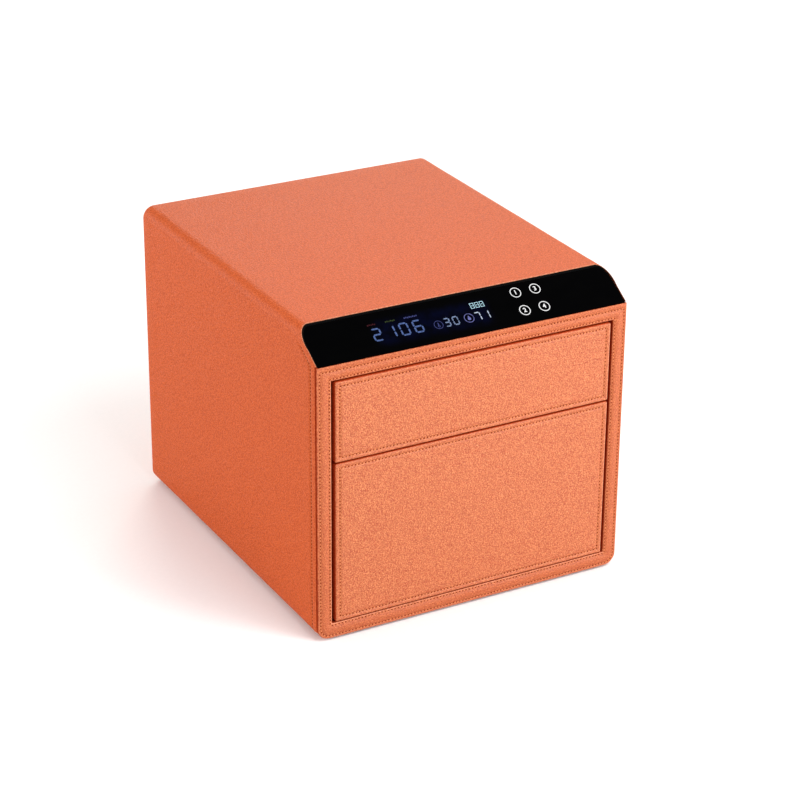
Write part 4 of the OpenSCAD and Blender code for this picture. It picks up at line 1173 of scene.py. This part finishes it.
def dress(row):
    """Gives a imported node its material, and softens its sharp edges unless it is round."""
    piece = frame["nodes"][row["node"]]
    piece.data.materials.clear()
    piece.data.materials.append(OWN_FINISH.get(row["node"]) or SLOTS[row["material_slot"]])
    if any(word in row["node"] for word in ROUND_NODES):
        return
    weld(piece)
    if "balls" in row["node"]:
        return
    whole = piece.modifiers.new("whole_faces", "DECIMATE")
    whole.decimate_type, whole.angle_limit = "DISSOLVE", FLAT_ANGLE
    edge = piece.modifiers.new("edge", "BEVEL")
    edge.width, edge.segments = RIM_SOFT.get(row["node"], EDGE_SOFT), EDGE_STEPS
    edge.limit_method, edge.angle_limit = "ANGLE", SHARP_ANGLE
    weld(piece)
    piece.modifiers.new("flat_faces", "WEIGHTED_NORMAL").weight = FLAT_WEIGHT


def weld(piece):
    """Joins points that lie in one place."""
    piece.modifiers.new("weld", "WELD").merge_threshold = WELD


for subpart in frame["record"]["subparts"]:
    dress(subpart)


# Floor, light and camera

SENSOR = 36
LENS = 112.949
CAMERA_RIGHT = (0.876503, -0.481335, 0.007695)
CAMERA_UP = (0.196356, 0.372064, 0.907201)
CAMERA_BACK = (-0.43953, -0.793653, 0.420628)
CAMERA_AT = (-0.98628, -1.82343, 1.08614)
FLOOR_HALF = 8.0
FLOOR_TOOTH = 4 * MM
FLOOR_DEEP, FLOOR_PALE = (0.925, 0.925, 0.925), (0.94, 0.94, 0.94)
AIM = (0, 0, 0.14)
WORLD_LIGHT = 0.62


def floor_finish():
    """Smooth white paper with a faint tooth."""
    made = Finish("floor")
    tooth = made.noise(FLOOR_TOOTH, 2)
    made.surface(
        Base_Color=made.ramp(tooth, (NOISE_LOW, FLOOR_DEEP), (NOISE_HIGH, FLOOR_PALE)),
        Roughness=made.spread(tooth, 0.8, 0.9),
        Specular_IOR_Level=0.1,
    )
    return made.material


def floor():
    """A wide square floor under the safe."""
    corners = [(-FLOOR_HALF, -FLOOR_HALF, 0), (FLOOR_HALF, -FLOOR_HALF, 0),
               (FLOOR_HALF, FLOOR_HALF, 0), (-FLOOR_HALF, FLOOR_HALF, 0)]
    mesh_object("floor", corners, [(0, 1, 2, 3)], floor_finish())


def soft_box(name, at, size, power, colour=(1, 1, 1)):
    """A square area light that points at the safe and that the camera doesn't see."""
    data = bpy.data.lights.new(name, "AREA")
    data.size, data.energy, data.color = size, power, colour
    light = bpy.data.objects.new(name, data)
    light.location = at
    light.rotation_euler = (Vector(AIM) - Vector(at)).to_track_quat("-Z", "Y").to_euler()
    light.visible_camera = False
    bpy.context.scene.collection.objects.link(light)


def studio():
    """An even white world and five soft lights."""
    world = bpy.data.worlds.new("studio")
    world.use_nodes = True
    background = world.node_tree.nodes["Background"]
    background.inputs["Color"].default_value = (1, 1, 1, 1)
    background.inputs["Strength"].default_value = WORLD_LIGHT
    bpy.context.scene.world = world
    bpy.context.scene.view_settings.view_transform = "Standard"
    soft_box("near_light", at=(0.15, -0.9, 1.3), size=0.8, power=12)
    soft_box("front_light", at=(1.65, -2.4, 0.5), size=1.2, power=95)
    soft_box("left_light", at=(-3.3, -0.9, 1.28), size=2.1, power=20)
    soft_box("rear_light", at=(2.1, 3.9, 2.0), size=2.4, power=104, colour=(1, 0.98, 0.88))
    soft_box("edge_light", at=(-2.0, 2.7, 0.7), size=1.0, power=65)


def camera():
    """The camera that the photo's edges were solved for."""
    data = bpy.data.cameras.new("camera")
    data.lens, data.sensor_width = LENS, SENSOR
    eye = bpy.data.objects.new("camera", data)
    axes = Matrix((CAMERA_RIGHT, CAMERA_UP, CAMERA_BACK)).transposed()
    eye.matrix_world = Matrix.Translation(CAMERA_AT) @ axes.to_4x4()
    bpy.context.scene.collection.objects.link(eye)
    bpy.context.scene.camera = eye


floor()
studio()
camera()
